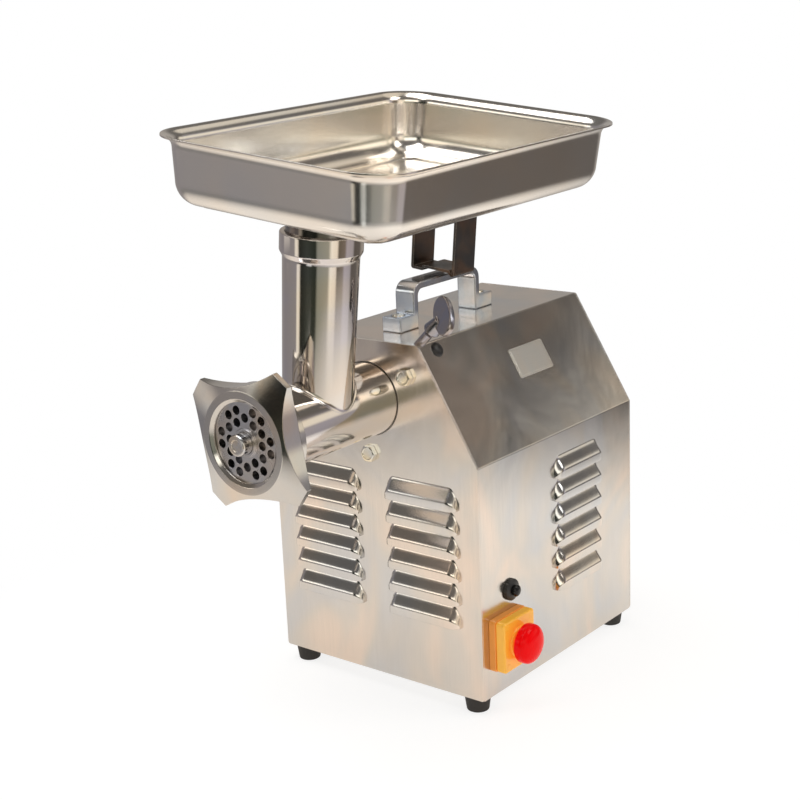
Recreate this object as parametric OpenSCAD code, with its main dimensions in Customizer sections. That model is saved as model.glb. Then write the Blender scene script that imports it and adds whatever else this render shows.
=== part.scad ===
// Electric meat grinder with a size 12 head, a sheet steel casing and a feed tray.
// +Z is up, -Y is the outlet side and +X is the switch side. The origin is on the
// table, in the middle of the box that bounds the whole machine.

/* [Casing] */
// Width of the casing across its upright side walls
casing_w = 220; // [216:1:230]
// Depth of the casing from front panel to rear cover
casing_d = 240; // [216:1:256]
// Height of the casing above its underside
casing_h = 299; // [296:1:306]
// Height of the upright part of the side walls, up to the slope
wall_h = 204; // [198:1:210]
// Width of the flat top between the two slopes
top_w = 107; // [104:1:114]
// Thickness of the casing sheet
sheet_t = 1.5; // [1.2:0.1:1.8]
// Height of the rubber feet
foot_h = 14; // [12:1:18]
// Largest diameter of a rubber foot
foot_d = 23; // [21:1:26]

/* [Louvres] */
// Length of one front louvre
front_louvre_l = 75; // [68:1:78]
// Length of one side louvre
side_louvre_l = 73; // [60:1:78]
// How far a louvre stands out of its wall
louvre_out = 7; // [5:0.5:8]
// Distance between louvres, one above the other
louvre_pitch = 20.6; // [19.5:0.1:21.5]
// Height of the lowest louvre above the casing's underside
louvre_z = 62; // [58:1:64]

/* [Head] */
// Lean of the head and tray about the barrel axis, towards the switch side
head_lean = 5.9; // [0:0.1:6.5]
// Distance of the barrel axis below the casing top
axis_drop = 50.6; // [50.6:0.1:52]
// Outer diameter of the barrel
barrel_d = 62; // [61:0.5:64]
// Bore of the barrel, round the auger
barrel_bore_d = 52; // [51.6:0.2:53]
// Diameter of the plate, which sets the head's size
plate_d = 70; // [69:0.5:71]
// Thickness of the plate
plate_t = 8; // [7:0.5:9]
// Diameter of the holes in the plate
plate_hole_d = 7.3; // [4.5:0.1:7.6]
// Distance between the centres of neighbouring holes
plate_pitch = 9.85; // [9.6:0.05:10]
// Distance of the chute axis in front of the casing
chute_reach = 64.4; // [60:0.2:68]
// Diameter of the chute at its foot
chute_d = 57.2; // [55:0.2:60]
// Diameter of the chute under its collar
chute_top_d = 61; // [60:0.5:63]
// Diameter of the collar
collar_d = 66; // [65:0.5:70]
// Height of the collar's upper edge above the barrel axis
collar_z = 152.5; // [148:0.5:156]

/* [Ring nut] */
// Distance of the ring nut's front in front of the casing
nut_reach = 151.5; // [150:0.5:154]
// Radius across the arm tips
nut_tip_r = 64.8; // [60:0.2:68]
// Width of one arm tip
nut_tip_w = 16.5; // [12:0.5:20]
// Turn of the arms about the barrel axis
nut_turn = 61; // [45:1:75]
// Diameter of the opening in front of the plate
nut_open_d = 65; // [62:0.5:66]

/* [Tray] */
// Width of the tray over its rim
tray_w = 239; // [220:1:250]
// Distance of the rim in front of the chute axis
tray_front = 77.7; // [70:0.5:84]
// Distance of the rim behind the chute axis
tray_back = 254.1; // [240:0.5:262]
// Depth of the tray from rim to underside
tray_depth = 56; // [52:1:60]
// Corner radius of the rim
tray_corner = 38; // [36:1:44]
// Width of the flared rim
tray_flare = 9; // [7:0.5:10]
// Height of the rim above the barrel axis, on the chute axis
tray_rim_z = 222; // [220:1:226]
// Upward pitch of the tray towards the rear
tray_pitch = 1.1; // [0:0.1:1.5]
// Swing of the tray about the chute axis
tray_swing = 0.7; // [0:0.1:1]
// Sheet thickness of the tray
tray_t = 1.2; // [1:0.1:1.5]

/* [Handle and clamp] */
// Height of the handle above the casing top
handle_h = 39; // [36:0.5:39]
// Width of the handle bar
handle_w = 20; // [18:0.5:22]
// Length of the arch along the casing
handle_l = 94.6; // [90:0.2:97]
// Thickness of the handle bar
handle_t = 6; // [5:0.5:7]
// Width of the clamp screw's flat grip, across its stem
grip_w = 38; // [32:0.5:40]
// Height of the clamp screw's flat grip, along its stem
grip_l = 22; // [20:0.5:26]
// Turn of the grip about its stem
grip_turn = -32; // [-90:1:90]

/* [Switch] */
// Width of the switch box
switch_w = 45; // [42:1:48]
// Height of the switch box
switch_h = 45.5; // [45:0.5:50]
// Diameter of the red mushroom knob
knob_d = 34; // [30:1:38]
// Travel of the mushroom knob
knob_travel = 2.5; // [2:0.5:3]

/* [Drive] */
// Outer diameter of the motor
motor_d = 140; // [136:1:142]
// Teeth of the output gear
out_teeth = 40; // [40:1:40]
// Teeth of the countershaft pinion
cpin_teeth = 16; // [16:1:16]
// Teeth of the countershaft wheel
cwheel_teeth = 44; // [44:1:44]
// Teeth of the motor pinion
mpin_teeth = 14; // [14:1:14]

/* [Clearances] */
// Radial clearance of a shaft in its bearing
run_gap = 0.05; // [0.03:0.01:0.1]
// Gap between a moving piece and its neighbour
move_gap = 0.3; // [0.3:0.05:0.4]
// Gap all round the barrel where it enters the front panel
panel_gap = 0.9; // [0.7:0.1:1.2]

/* [Hidden] */
$fn = 64;
mod1 = 1.75;                 // module of the motor stage
mod2 = 2;                    // module of the output stage
hx = casing_w/2;
fy = casing_d/2;
z0 = foot_h;
z_wall = z0 + wall_h;
z_top = z0 + casing_h;
axis_z = z_top - axis_drop;
slope_a = atan2(z_top - z_wall, hx - top_w/2);
snx = sin(slope_a);
snz = cos(slope_a);
// Distances forward of the casing centre, for everything on the barrel axis
f_in = fy - sheet_t;
f_chute = fy + chute_reach;
f_nut = fy + nut_reach;
f_plate = f_nut - 4;
f_plate_back = f_plate - plate_t;
f_knife = f_plate_back - move_gap;
f_head = f_plate - 1.5;
f_flight = f_knife - 8.2;
f_rear = f_in - 22;
pin_front = f_nut + 7;
gland_out = 12;
knob_out = 31.5 + knob_travel;  // reach of the knob beyond the side wall
shift = [-(knob_out - louvre_out)/2, (pin_front - fy - gland_out)/2, 0];
// Radii in the head
barrel_r = barrel_d/2;
bore_r = barrel_bore_d/2;
plate_r = plate_d/2;
seat_r = plate_r + 0.2;
flange_r = plate_r + 4.8;
nut_in_r = flange_r + move_gap;
skirt_r = nut_in_r + 3.4;
pin_r = 8.75;
journal_r = 13;
core_r = 13;
neck_r = collar_d/2 - 4.6;
neck_in_r = neck_r - 2.4;
bolt_r = 47.5;
// Drive train axes, one under the other
c2 = mod2*(out_teeth + cpin_teeth)/2;
c1 = mod1*(cwheel_teeth + mpin_teeth)/2;
counter_z = axis_z - c2;
motor_z = counter_z - c1;
case_r = axis_drop - sheet_t - 0.5;
y_hub = -(f_in - 43.5);
y_case = y_hub + 50;
y_cover = y_case + 6;
y_can = y_cover + 12;
can_l = f_in - 30.5 - y_can;
y_bell = y_can + can_l;
motor_r = motor_d/2;
stator_in = motor_r - 28.6;    // bore of the stator
coil_out = motor_r - 9;        // outer radius of the end windings
cradle_w = 2*motor_r - 30;
shaft_r = 7;
// Handle and clamp
hand_x = 4;
hand_y0 = -(fy - 49);
hand_y1 = hand_y0 + handle_l;
hand_foot = 12.6;
hand_foot_l = 19;
clamp_y = -(fy - 8);
grip_r = 107.5;
// Switch and reset button
sw_y = -(fy - 32);
sw_z = z0 + 47.4;
sw_base = 6.5;
sw_out = 15.6;
sw_collar = 1.5;
knob_back = sw_out + sw_collar + knob_travel + 0.6;  // underside of the knob
rs_y = -(fy - 42.2);
rs_z = z0 + 87;
plug_x = 8;
plug_y = -(fy - 21.5);
under_z = -tray_depth;       // underside of the tray, from the rim plane

steel = [0.74, 0.72, 0.69];
cast = [0.62, 0.63, 0.64];
dark = [0.12, 0.12, 0.13];

// Places a piece of the machine in the part's frame.
module here() translate(shift) children();
// Extrudes an outline in X and Z between two depths along Y.
module yprism(a, b) translate([0, b, 0]) rotate([90, 0, 0]) linear_extrude(b - a) children();
// Extrudes an outline in Y and Z between two places along X.
module xprism(a, b) translate([a, 0, 0]) rotate([90, 0, 90]) linear_extrude(b - a) children();
// A round bar along Y at height z.
module bar(r, a, b, z = 0, x = 0) translate([x, b, z]) rotate([90, 0, 0]) cylinder(r = r, h = b - a);
// A round bar on the barrel axis, between two distances forward of the casing's centre.
module fbar(r, a, b) bar(r, -b, -a);
// Turns a profile of radius and forward distance about the barrel axis.
module frev() rotate([90, 0, 0]) rotate_extrude() children();
// The head's own frame: z is measured from the barrel axis and leans with the head.
module lean() here() translate([0, 0, axis_z]) rotate([0, head_lean, 0]) children();
// The tray's own frame: z is measured from the rim, on the chute axis.
module on_tray() translate([0, -f_chute, tray_rim_z]) rotate([tray_pitch, 0, 0])
    rotate([0, 0, tray_swing]) children();
// A rectangle with round corners.
module rrect(w, h, r) {
  square([w - 2*r, h], center = true);
  square([w, h - 2*r], center = true);
  for (x = [-1, 1], y = [-1, 1]) translate([x*(w/2 - r), y*(h/2 - r)]) circle(r = r);
}
// Outline of the casing seen from the front, moved inwards by g, with its foot at height b.
function outline(g, b) = [
  [hx - g, b], [hx - g, z_wall - g*(1 - snx)/snz], [top_w/2 - g*(1 - snz)/snx, z_top - g],
  [-top_w/2 + g*(1 - snz)/snx, z_top - g], [-hx + g, z_wall - g*(1 - snx)/snz], [-hx + g, b]];

// Hood of one louvre, standing out along +X, open below.
module louvre(l) {
  w = louvre_out;
  yprism(-l/2, l/2) polygon([[-sheet_t/2, 16], [0, 16], [w - 1.5, 7.4], [w, 5.6], [w, 0], [w - sheet_t, 0],
    [w - sheet_t, 5], [w - sheet_t - 1, 6], [-sheet_t/2, 14]]);
  for (s = [0, 1]) mirror([0, s, 0]) yprism(l/2 - sheet_t, l/2)
      polygon([[-sheet_t/2, 16], [0, 16], [w - 1.5, 7.4], [w, 5.6], [w, 0], [-sheet_t/2, 0]]);
}
module louvre_slot(l) translate([-sheet_t - 1, -l/2 + 3, 1]) cube([sheet_t + 2, l - 6, 11]);
module louvre_rows() for (i = [0 : 5]) translate([0, 0, z0 + louvre_z + i*louvre_pitch]) children();
module front_louvres() for (s = [-1, 1]) translate([s*52, -fy, 0]) rotate([0, 0, -90]) louvre_rows()
    children();
module side_louvres() for (s = [0, 1]) mirror([s, 0, 0]) translate([hx, 27.5, 0]) louvre_rows() children();

module foot_places() for (x = [-95, 95], y = [-1, 1]) translate([x, y*(fy - 12), 0]) children();
module screw_places() for (p = [[-1, 40], [-1, 120], [1, 40], [1, 120]])
    translate([p[0]*(hx - 8), fy, z0 + p[1]]) children();

module base_plate() color(steel) here() difference() {
  union() {
    translate([-hx + sheet_t, -f_in, z0]) cube([casing_w - 2*sheet_t, 2*f_in, 2]);
    for (s = [-1, 1]) translate([s*(hx - sheet_t - 1) - 1, -f_in, z0]) cube([2, 2*f_in, 16]);
  }
  foot_places() translate([0, 0, z0 - 1]) cylinder(r = 2.6, h = 4);
  for (i = [-3 : 3]) translate([i*12 - 2.5, -40, z0 - 1]) cube([5, 60, 4]);
}

module casing_wrap() color(steel) here() difference() {
  union() {
    difference() {
      yprism(-f_in, f_in) polygon(outline(0, z0));
      yprism(-f_in - 1, f_in - 1.5) polygon(outline(sheet_t, z0 - 1));
      yprism(f_in - 2, f_in + 1) polygon(outline(14, z0 + 14));
      yprism(f_in - 2, f_in + 1) polygon([[-hx + sheet_t, z0 - 1], [hx - sheet_t, z0 - 1],
          [hx - sheet_t, z0 + 20], [-hx + sheet_t, z0 + 20]]);
    }
    side_louvres() louvre(side_louvre_l);
  }
  side_louvres() louvre_slot(side_louvre_l);
  // switch, reset button, handle screws, clamp screw, plug and cover screws
  translate([hx - sheet_t - 1, sw_y - 17.5, sw_z - 18]) cube([sheet_t + 2, 35, 36]);
  translate([hx - sheet_t - 1, rs_y, rs_z]) rotate([0, 90, 0]) cylinder(r = 8.2, h = sheet_t + 2);
  for (y = [hand_y0 - hand_foot_l/2, hand_y1 + hand_foot_l/2]) translate([hand_x, y, z_top - 4])
      cylinder(r = 3.2, h = 6);
  translate([0, clamp_y, axis_z]) rotate([0, 45, 0]) translate([0, 0, 60]) cylinder(r = 5, h = 22);
  on_slope() translate([plug_x, plug_y, -3]) cylinder(r = 4.6, h = 5);
  screw_places() rotate([90, 0, 0]) cylinder(r = 2.1, h = 6);
}

module front_panel() color(steel) here() difference() {
  union() {
    yprism(-fy, -f_in) polygon(outline(0, z0));
    front_louvres() louvre(front_louvre_l);
  }
  bar(barrel_r + panel_gap, -fy - 1, -f_in + 1, axis_z);
  bolt_places() bar(4.2, -fy - 1, -f_in + 1);
  front_louvres() louvre_slot(front_louvre_l);
}

module rear_cover() color(steel) here() difference() {
  yprism(f_in, fy) polygon(outline(0, z0));
  for (r = [1 : 3], i = [0 : 6*r - 1]) rotate_about(motor_z, i*60/r) bar(4.5, f_in - 1, fy + 1, 0, 15*r);
  bar(4.5, f_in - 1, fy + 1, motor_z);
  screw_places() rotate([90, 0, 0]) translate([0, 0, -1]) cylinder(r = 2.1, h = sheet_t + 2);
  bar(6.2, f_in - 1, fy + 1, z0 + 28, 70);
}
module rotate_about(z, a) translate([0, 0, z]) rotate([0, a, 0]) children();

// Frame of the right slope: x runs down it from the bend, z stands out of it.
module on_slope() translate([top_w/2, 0, z_top]) rotate([0, slope_a, 0]) children();
// The three bolts round the barrel: right, left and lower.
module bolt_places() for (a = [30, 150, 270]) translate([bolt_r*cos(a), 0, axis_z + bolt_r*sin(a)])
    children();

// One rubber foot, with its screw recess below.
module foot(x, y) color(dark) here() translate([x*95, y*(fy - 12), 0]) difference() {
  cylinder(r1 = foot_d/2 - 2, r2 = foot_d/2, h = foot_h);
  translate([0, 0, -1]) cylinder(r = 5, h = 7);
  translate([0, 0, -1]) cylinder(r = 2.6, h = foot_h + 2);
}
module foot_front_left() foot(-1, -1);
module foot_front_right() foot(1, -1);
module foot_rear_left() foot(-1, 1);
module foot_rear_right() foot(1, 1);

module foot_screws() color(cast) here() foot_places() {
  translate([0, 0, 2.6]) cylinder(r = 4.6, h = 3.4);
  translate([0, 0, 5]) cylinder(r = 2.5, h = foot_h + 2);
  translate([0, 0, z0 + 2]) difference() {
    cylinder(r = 4.6, h = 4, $fn = 6);
    translate([0, 0, -1]) cylinder(r = 2.5, h = 6);
  }
}

module rear_cover_screws() color(cast) here() screw_places() rotate([-90, 0, 0]) difference() {
  union() {
    cylinder(r = 4, h = 2.4);
    translate([0, 0, -7]) cylinder(r = 2, h = 8);
  }
  translate([-0.5, -5, 1.4]) cube([1, 10, 2]);
}

module badge_plate() color([0.8, 0.79, 0.76]) here() on_slope() translate([42, 12, 0])
    linear_extrude(0.8) rrect(27, 50, 2);

module slope_plug() color(dark) here() on_slope() translate([plug_x, plug_y, 0]) {
  cylinder(r1 = 6.5, r2 = 5, h = 2.6);
  translate([0, 0, -4]) cylinder(r = 4.5, h = 5);
}

module carry_handle() color([0.68, 0.7, 0.72]) here() difference() {
  union() {
    difference() {
      xprism(hand_x - handle_w/2, hand_x + handle_w/2)
          translate([(hand_y0 + hand_y1)/2, z_top + handle_h/2 - 10]) rrect(handle_l, handle_h + 20, 11);
      xprism(hand_x - handle_w, hand_x + handle_w)
          translate([(hand_y0 + hand_y1)/2, z_top + handle_h/2 - 10 - handle_t])
          rrect(handle_l - 2*handle_t - 2, handle_h + 20, 6);
      translate([-40, -200, z_top - 40]) cube([80, 400, 40]);
    }
    translate([hand_x - handle_w/2, hand_y0 - hand_foot_l, z_top])
        cube([handle_w, hand_foot_l + 1, hand_foot]);
    translate([hand_x - handle_w/2, hand_y1 - 1, z_top]) cube([handle_w, hand_foot_l + 2, hand_foot]);
  }
  for (y = [hand_y0 - hand_foot_l/2, hand_y1 + hand_foot_l/2]) translate([hand_x, y, z_top - 1]) {
    cylinder(r = 3.1, h = 20);
    translate([0, 0, 1 + hand_foot - 2]) cylinder(r = 6, h = 5);
  }
}

module handle_screws() color(cast) here()
    for (p = [[hand_y0 - hand_foot_l/2, 11], [hand_y1 + hand_foot_l/2, 8]])
    translate([hand_x, p[0], z_top]) {
  difference() {
    translate([0, 0, hand_foot - 2]) cylinder(r = 5.5, h = 3);
    translate([-6, -0.7, hand_foot - 0.2]) cube([12, 1.4, 3]);
  }
  translate([0, 0, -p[1]]) cylinder(r = 3, h = p[1] + hand_foot - 1);
  if (p[1] < 10) translate([0, 0, -sheet_t - 4]) difference() {
    cylinder(r = 5.5, h = 4, $fn = 6);
    translate([0, 0, -1]) cylinder(r = 3, h = 6);
  }
}

// Hub, bolt bosses and gear chamber, cast in one piece and open at the rear.
module gearbox_housing() color(cast) here() difference() {
  union() {
    bar(case_r - 2.4, -f_in, y_hub + 6, axis_z);
    bolt_places() bar(8, -f_in, -f_in + 19);
    bar(14, y_hub - 9, y_hub + 2, counter_z);
    bar(case_r, y_hub, y_case, axis_z);
    bar(case_r - 1.5, y_hub, y_case, counter_z);
    bar(25, y_hub, y_case, motor_z);
  }
  bar(barrel_r + run_gap, -f_in - 1, -f_in + 23.5, axis_z);
  bolt_places() bar(4, -f_in - 1, -f_in + 16);
  bar(26, -f_in + 22, y_hub - 3, axis_z);
  bar(14, y_hub - 4, y_hub + 8, axis_z);
  bar(case_r - 4.6, y_hub + 5, y_case + 1, axis_z);
  bar(case_r - 6.1, y_hub + 5, y_case + 1, counter_z);
  bar(17, y_hub + 5, y_case + 1, motor_z);
  bar(10, y_hub - 7, y_hub + 6, counter_z);
  translate([hand_x, hand_y0 - hand_foot_l/2, z_top - 12]) cylinder(r = 3.05, h = 14);
  translate([0, clamp_y, axis_z]) rotate([0, 45, 0]) translate([0, 0, barrel_r - 3])
      cylinder(r = 4 + run_gap, h = 25);
}

module gearbox_cover() color(cast) here() difference() {
  union() {
    bar(case_r, y_case, y_cover, axis_z);
    bar(case_r - 1.5, y_case, y_cover, counter_z);
    bar(motor_r, y_case, y_cover, motor_z);
    bar(24, y_case - 6, y_case + 1, axis_z);
    bar(14, y_case - 6, y_case + 1, counter_z);
  }
  bar(20, y_case - 7, y_case + 5, axis_z);
  bar(10, y_case - 7, y_case + 4, counter_z);
  bar(18.5, y_case - 1, y_cover + 1, motor_z);
}

module hub_bolts() color([0.72, 0.7, 0.64]) here() bolt_places() {
  bar(4, -fy - 1, -f_in + 15);
  difference() {
    translate([0, -fy, 0]) rotate([90, 0, 0]) cylinder(r = 7.5, h = 5.3, $fn = 6);
    bar(5.6, -fy - 6, -fy - 4.8);
  }
}

// A bearing ring between a seat and a shaft.
module ring(ro, ri, a, b, z) difference() {
  bar(ro, a, b, z);
  bar(ri, a - 1, b + 1, z);
}
module output_bearings() color(cast) here() {
  ring(26, 12.5 + run_gap, y_hub - 18, y_hub - 3, axis_z);
  ring(20, 8.5 + run_gap, y_case - 6, y_case + 5, axis_z);
}
module counter_bushes() color([0.7, 0.55, 0.3]) here() {
  ring(10, shaft_r + run_gap, y_hub - 7, y_hub + 4, counter_z);
  ring(10, shaft_r + run_gap, y_case - 6, y_case + 4, counter_z);
}

module output_shaft() color(cast) here() difference() {
  union() {
    bar(12.5, y_hub - 19, y_hub + 25, axis_z);
    bar(8.5, y_hub + 24, y_case + 4, axis_z);
  }
  translate([-7.6, y_hub - 20, axis_z - 7.6]) cube([15.2, 17, 15.2]);
}

function inv(a) = tan(a) - a*PI/180;
// Half the angle of a tooth at radius r, less a little for play.
function half_tooth(n, m, r) = 90/n*0.955 + (inv(20) - inv(acos(min(1, m*n/2*cos(20)/r))))*180/PI;
// Outline of a spur gear of n teeth, with a tooth at angle t.
function gear_pts(n, m, t) = let (rp = m*n/2, rb = rp*cos(20), rr = rp - 1.22*m, rt = rp + 0.92*m,
    r1 = max(rb, rr) + 0.01*m,
    rs = [rr, r1, (r1 + rp)/2 + 0.1*m, rp + 0.35*m, rt], hs = [for (r = rs) half_tooth(n, m, max(r, r1))])
  [for (i = [0 : n - 1], k = [0 : 9])
      let (j = k < 5 ? k : 9 - k, a = t + i*360/n + (k < 5 ? -hs[j] : hs[j]))
      [rs[j]*cos(a), rs[j]*sin(a)]];
module gear(n, m, t, ri, a, b, z) difference() {
  translate([0, 0, z]) yprism(a, b) polygon(gear_pts(n, m, t));
  bar(ri, a - 1, b + 1, z);
}
module output_gear() color(cast) here() gear(out_teeth, mod2, -90, 12.5, y_hub + 7, y_hub + 24.5, axis_z);
module counter_pinion() color(cast) here() gear(cpin_teeth, mod2, 90 + 180/cpin_teeth, shaft_r,
    y_hub + 6.5, y_hub + 25, counter_z);
module counter_wheel() color(cast) here() {
  gear(cwheel_teeth, mod1, -90, shaft_r, y_case - 20, y_case - 9, counter_z);
  ring(12, shaft_r, y_hub + 26, y_case - 20, counter_z);
}
module motor_pinion() color(cast) here() gear(mpin_teeth, mod1, 90 + 180/mpin_teeth, 5, y_case - 21,
    y_case - 8, motor_z);
module counter_shaft() color(cast) here() bar(shaft_r, y_hub - 6, y_case + 3, counter_z);

module motor_front_bell() color(cast) here() difference() {
  bar(motor_r, y_cover, y_can, motor_z);
  bar(17.5, y_cover - 1, y_can - 1, motor_z);
  bar(9, y_cover, y_can + 1, motor_z);
}
module motor_rear_bell() color(cast) here() difference() {
  bar(motor_r, y_bell, y_bell + 12, motor_z);
  bar(17.5, y_bell - 1, y_bell + 11, motor_z);
  bar(9, y_bell, y_bell + 13, motor_z);
}
module motor_can() color([0.3, 0.33, 0.36]) here() ring(motor_r, motor_r - 4, y_can, y_bell, motor_z);
module stator_core() color([0.35, 0.35, 0.36]) here() ring(motor_r - 4, stator_in, y_can + 16,
    y_bell - 14, motor_z);
module stator_windings() color([0.72, 0.4, 0.2]) here() {
  ring(coil_out, stator_in + 3.6, y_can + 4, y_can + 16, motor_z);
  ring(coil_out, stator_in + 3.6, y_bell - 14, y_bell - 3, motor_z);
}
module motor_bearings() color(cast) here() {
  ring(17.5, shaft_r + run_gap, y_cover + 1, y_can - 1, motor_z);
  ring(17.5, shaft_r + run_gap, y_bell, y_bell + 11, motor_z);
}
module motor_shaft() color(cast) here() {
  bar(5, y_case - 22, y_case - 6, motor_z);
  bar(shaft_r, y_case - 7, y_bell + 24, motor_z);
}
module rotor_core() color([0.4, 0.4, 0.42]) here() ring(stator_in - 0.6, shaft_r, y_can + 14,
    y_bell - 12, motor_z);
module cooling_fan() color(dark) here() {
  ring(14, shaft_r, y_bell + 14, y_bell + 23, motor_z);
  for (i = [0 : 6]) rotate_about(motor_z, i*360/7) translate([-1.2, y_bell + 14, 13.5]) cube([2.4, 9, 36]);
}
module motor_cradle() color(steel) here() difference() {
  union() {
    for (y = [y_can + 10, y_bell - 16]) translate([-cradle_w/2, y, z0 + 2])
        cube([cradle_w, 5, motor_z - z0 - 0.7*motor_r]);
    translate([-cradle_w/2, y_can + 10, z0 + 2]) cube([cradle_w, can_l - 21, 3]);
  }
  bar(motor_r, y_can, y_bell, motor_z);
  translate([-35, y_can, z0 + 14]) cube([70, can_l, 34]);
}

module run_capacitor() color([0.75, 0.76, 0.78]) here() {
  bar(20, -40, 40, z0 + 23.5, -80);
  for (x = [-7, 7]) bar(1.5, -48, -39, z0 + 23.5, -80 + x);
}
module capacitor_clip() color(steel) here() difference() {
  union() {
    bar(21.5, -8, 8, z0 + 23.5, -80);
    translate([-84, -8, z0 + 2]) cube([84 - cradle_w/2 - 1, 16, 1.5]);
  }
  bar(20, -9, 9, z0 + 23.5, -80);
}
module cable_gland() color(dark) here() difference() {
  union() {
    translate([70, fy, z0 + 28]) rotate([-90, 0, 0]) cylinder(r = 9.5, h = 4, $fn = 6);
    bar(7.5, fy + 3, fy + gland_out, z0 + 28, 70);
    bar(6, f_in - 8, fy + 1, z0 + 28, 70);
    bar(9, f_in - 4, f_in, z0 + 28, 70);
  }
  bar(4.2, f_in - 10, fy + gland_out + 1, z0 + 28, 70);
}

// Frame of the switch: x stands out of the side wall.
module on_switch() translate([hx, sw_y, sw_z]) children();
module xbox(a, b, w, h, r) xprism(a, b) rrect(w, h, r);
module switch_base() color([0.95, 0.55, 0.1]) here() on_switch() difference() {
  xbox(0, sw_base, switch_w, switch_h, 3);
  xprism(-1, sw_base + 1) circle(r = 9.4);
}
module switch_cover() color([0.97, 0.72, 0.15]) here() on_switch() difference() {
  union() {
    xbox(sw_base, sw_out, switch_w - 0.6, switch_h - 0.6, 3);
    xprism(sw_out, sw_out + sw_collar) circle(r = 13.5);
  }
  xbox(sw_base - 1, sw_out - 2.2, switch_w - 7, switch_h - 7, 2);
  xprism(0, 30) circle(r = 9.4);
}
module contact_block() color(dark) here() on_switch() difference() {
  translate([-38, -17, -17.5]) cube([38, 34, 35]);
  xprism(-12, 1) circle(r = 9.4);
}
module stop_knob() color([0.85, 0.06, 0.06]) here() on_switch() rotate([0, 90, 0]) rotate_extrude()
    polygon([[0, -7.5], [9, -7.5],
  [9, knob_back], [knob_d/2 - 0.8, knob_back], [knob_d/2, knob_back + 1], [knob_d/2, knob_back + 5.5],
  for (a = [10 : 10 : 90]) [knob_d/2*cos(a), knob_back + 5.5 + (knob_out - knob_back - 5.5)*sin(a)]]);

module breaker_body() color(dark) here() translate([hx, rs_y, rs_z]) difference() {
  xprism(-26, 0) circle(r = 8);
  xprism(-10, 1) circle(r = 4.3);
}
module reset_nut() color(dark) here() translate([hx, rs_y, rs_z]) difference() {
  xprism(0, 4) circle(r = 9.5);
  xprism(-1, 5) circle(r = 4.3);
}
module reset_plunger() color(dark) here() translate([hx, rs_y, rs_z]) {
  xprism(-6, 6) circle(r = 4);
  xprism(6, 9) circle(r = 5);
}

// The clamp screw points at the barrel axis, half way between up and sideways.
module clamp_screw() color([0.5, 0.47, 0.45]) here() translate([0, clamp_y, axis_z]) rotate([0, 45, 0]) {
  translate([0, 0, barrel_r + move_gap]) cylinder(r = 4, h = grip_r - barrel_r - 18);
  translate([0, 0, grip_r - 22]) cylinder(r1 = 4, r2 = 7.4, h = 4);
  translate([0, 0, grip_r - 18]) cylinder(r1 = 7.4, r2 = 5, h = 13);
  translate([0, 0, grip_r]) rotate([0, 0, grip_turn]) rotate([90, 0, 0]) linear_extrude(5.5, center = true)
    scale([grip_w/grip_l, 1]) circle(r = grip_l/2);
}

// Barrel, chute, collar and front flange in one casting.
module head_casting() color([0.7, 0.68, 0.66]) lean() difference() {
  union() {
    fbar(barrel_r, f_rear, f_head - 10);
    fbar(flange_r, f_head - 17.5, f_head);
    translate([0, -f_chute, 18]) cylinder(r1 = chute_d/2, r2 = chute_top_d/2, h = collar_z - 37);
    translate([0, -f_chute, 20]) cylinder(r1 = chute_d/2 + 5, r2 = chute_d/2, h = 16);
    translate([0, -f_chute, collar_z - 19]) cylinder(r1 = chute_top_d/2, r2 = collar_d/2, h = 4);
    translate([0, -f_chute, collar_z - 15]) cylinder(r = collar_d/2, h = 14);
    translate([0, -f_chute, collar_z - 1]) cylinder(r1 = collar_d/2, r2 = collar_d/2 - 1, h = 1);
  }
  fbar(bore_r, f_rear + 6, f_head + 1);
  fbar(journal_r + run_gap, f_rear - 1, f_rear + 7);
  fbar(seat_r, f_flight - 1, f_head + 1);
  translate([0, -f_chute, 0]) cylinder(r = 24, h = collar_z);
  translate([0, -f_chute, collar_z - 19]) cylinder(r = neck_r + move_gap, h = 20);
  translate([0, 0, -seat_r]) bar(2, -f_head - 1, -f_plate_back + 1);
}

module plate_key() color(cast) lean() translate([0, 0, -seat_r]) bar(2, -f_head + 0.5, -f_plate_back + 1);

module plate() color([0.66, 0.65, 0.64]) lean() difference() {
  union() {
    fbar(plate_r, f_plate_back, f_plate);
    fbar(11.5, f_plate - 1, f_plate + 1.6);
  }
  fbar(pin_r + 0.1, f_plate_back - 1, f_plate + 3);
  translate([0, 0, -seat_r]) bar(2.2, -f_plate - 1, -f_plate_back + 1);
  rotate([0, -35, 0]) for (i = [-3 : 3], j = [-3 : 3]) let (x = (i + j/2)*plate_pitch,
      z = j*sqrt(3)/2*plate_pitch, r = norm([x, z]))
    if (r > 1.6*plate_pitch && r < 2.8*plate_pitch) translate([x, 0, z])
        fbar(plate_hole_d/2, f_plate_back - 1, f_plate + 1);
}

// Nut with four arms that slant back from the rim of its front disc.
module ring_nut() color([0.68, 0.65, 0.61]) lean() difference() {
  union() {
    intersection() {
      frev() polygon([[30, f_nut], [40, f_nut], [41.5, f_nut - 1.3], [41.5, f_nut - 3.2],
          [68, f_nut - 8], [68, f_nut - 11],
        [skirt_r + 2.5, f_nut - 19], [skirt_r, f_nut - 20], [30, f_nut - 20]]);
      rotate([0, -nut_turn, 0]) yprism(-f_nut - 1, -f_nut + 24) nut_star();
    }
    fbar(skirt_r, f_nut - 25.5, f_nut - 19.5);
  }
  fbar(nut_open_d/2, f_nut - 6, f_nut + 1);
  frev() polygon([[0, f_nut + 1], [nut_open_d/2 + 2.4, f_nut + 1], [nut_open_d/2 - 0.1, f_nut - 1.5],
      [0, f_nut - 1.5]]);
  fbar(nut_in_r, f_nut - 27, f_plate + move_gap);
}
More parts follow.
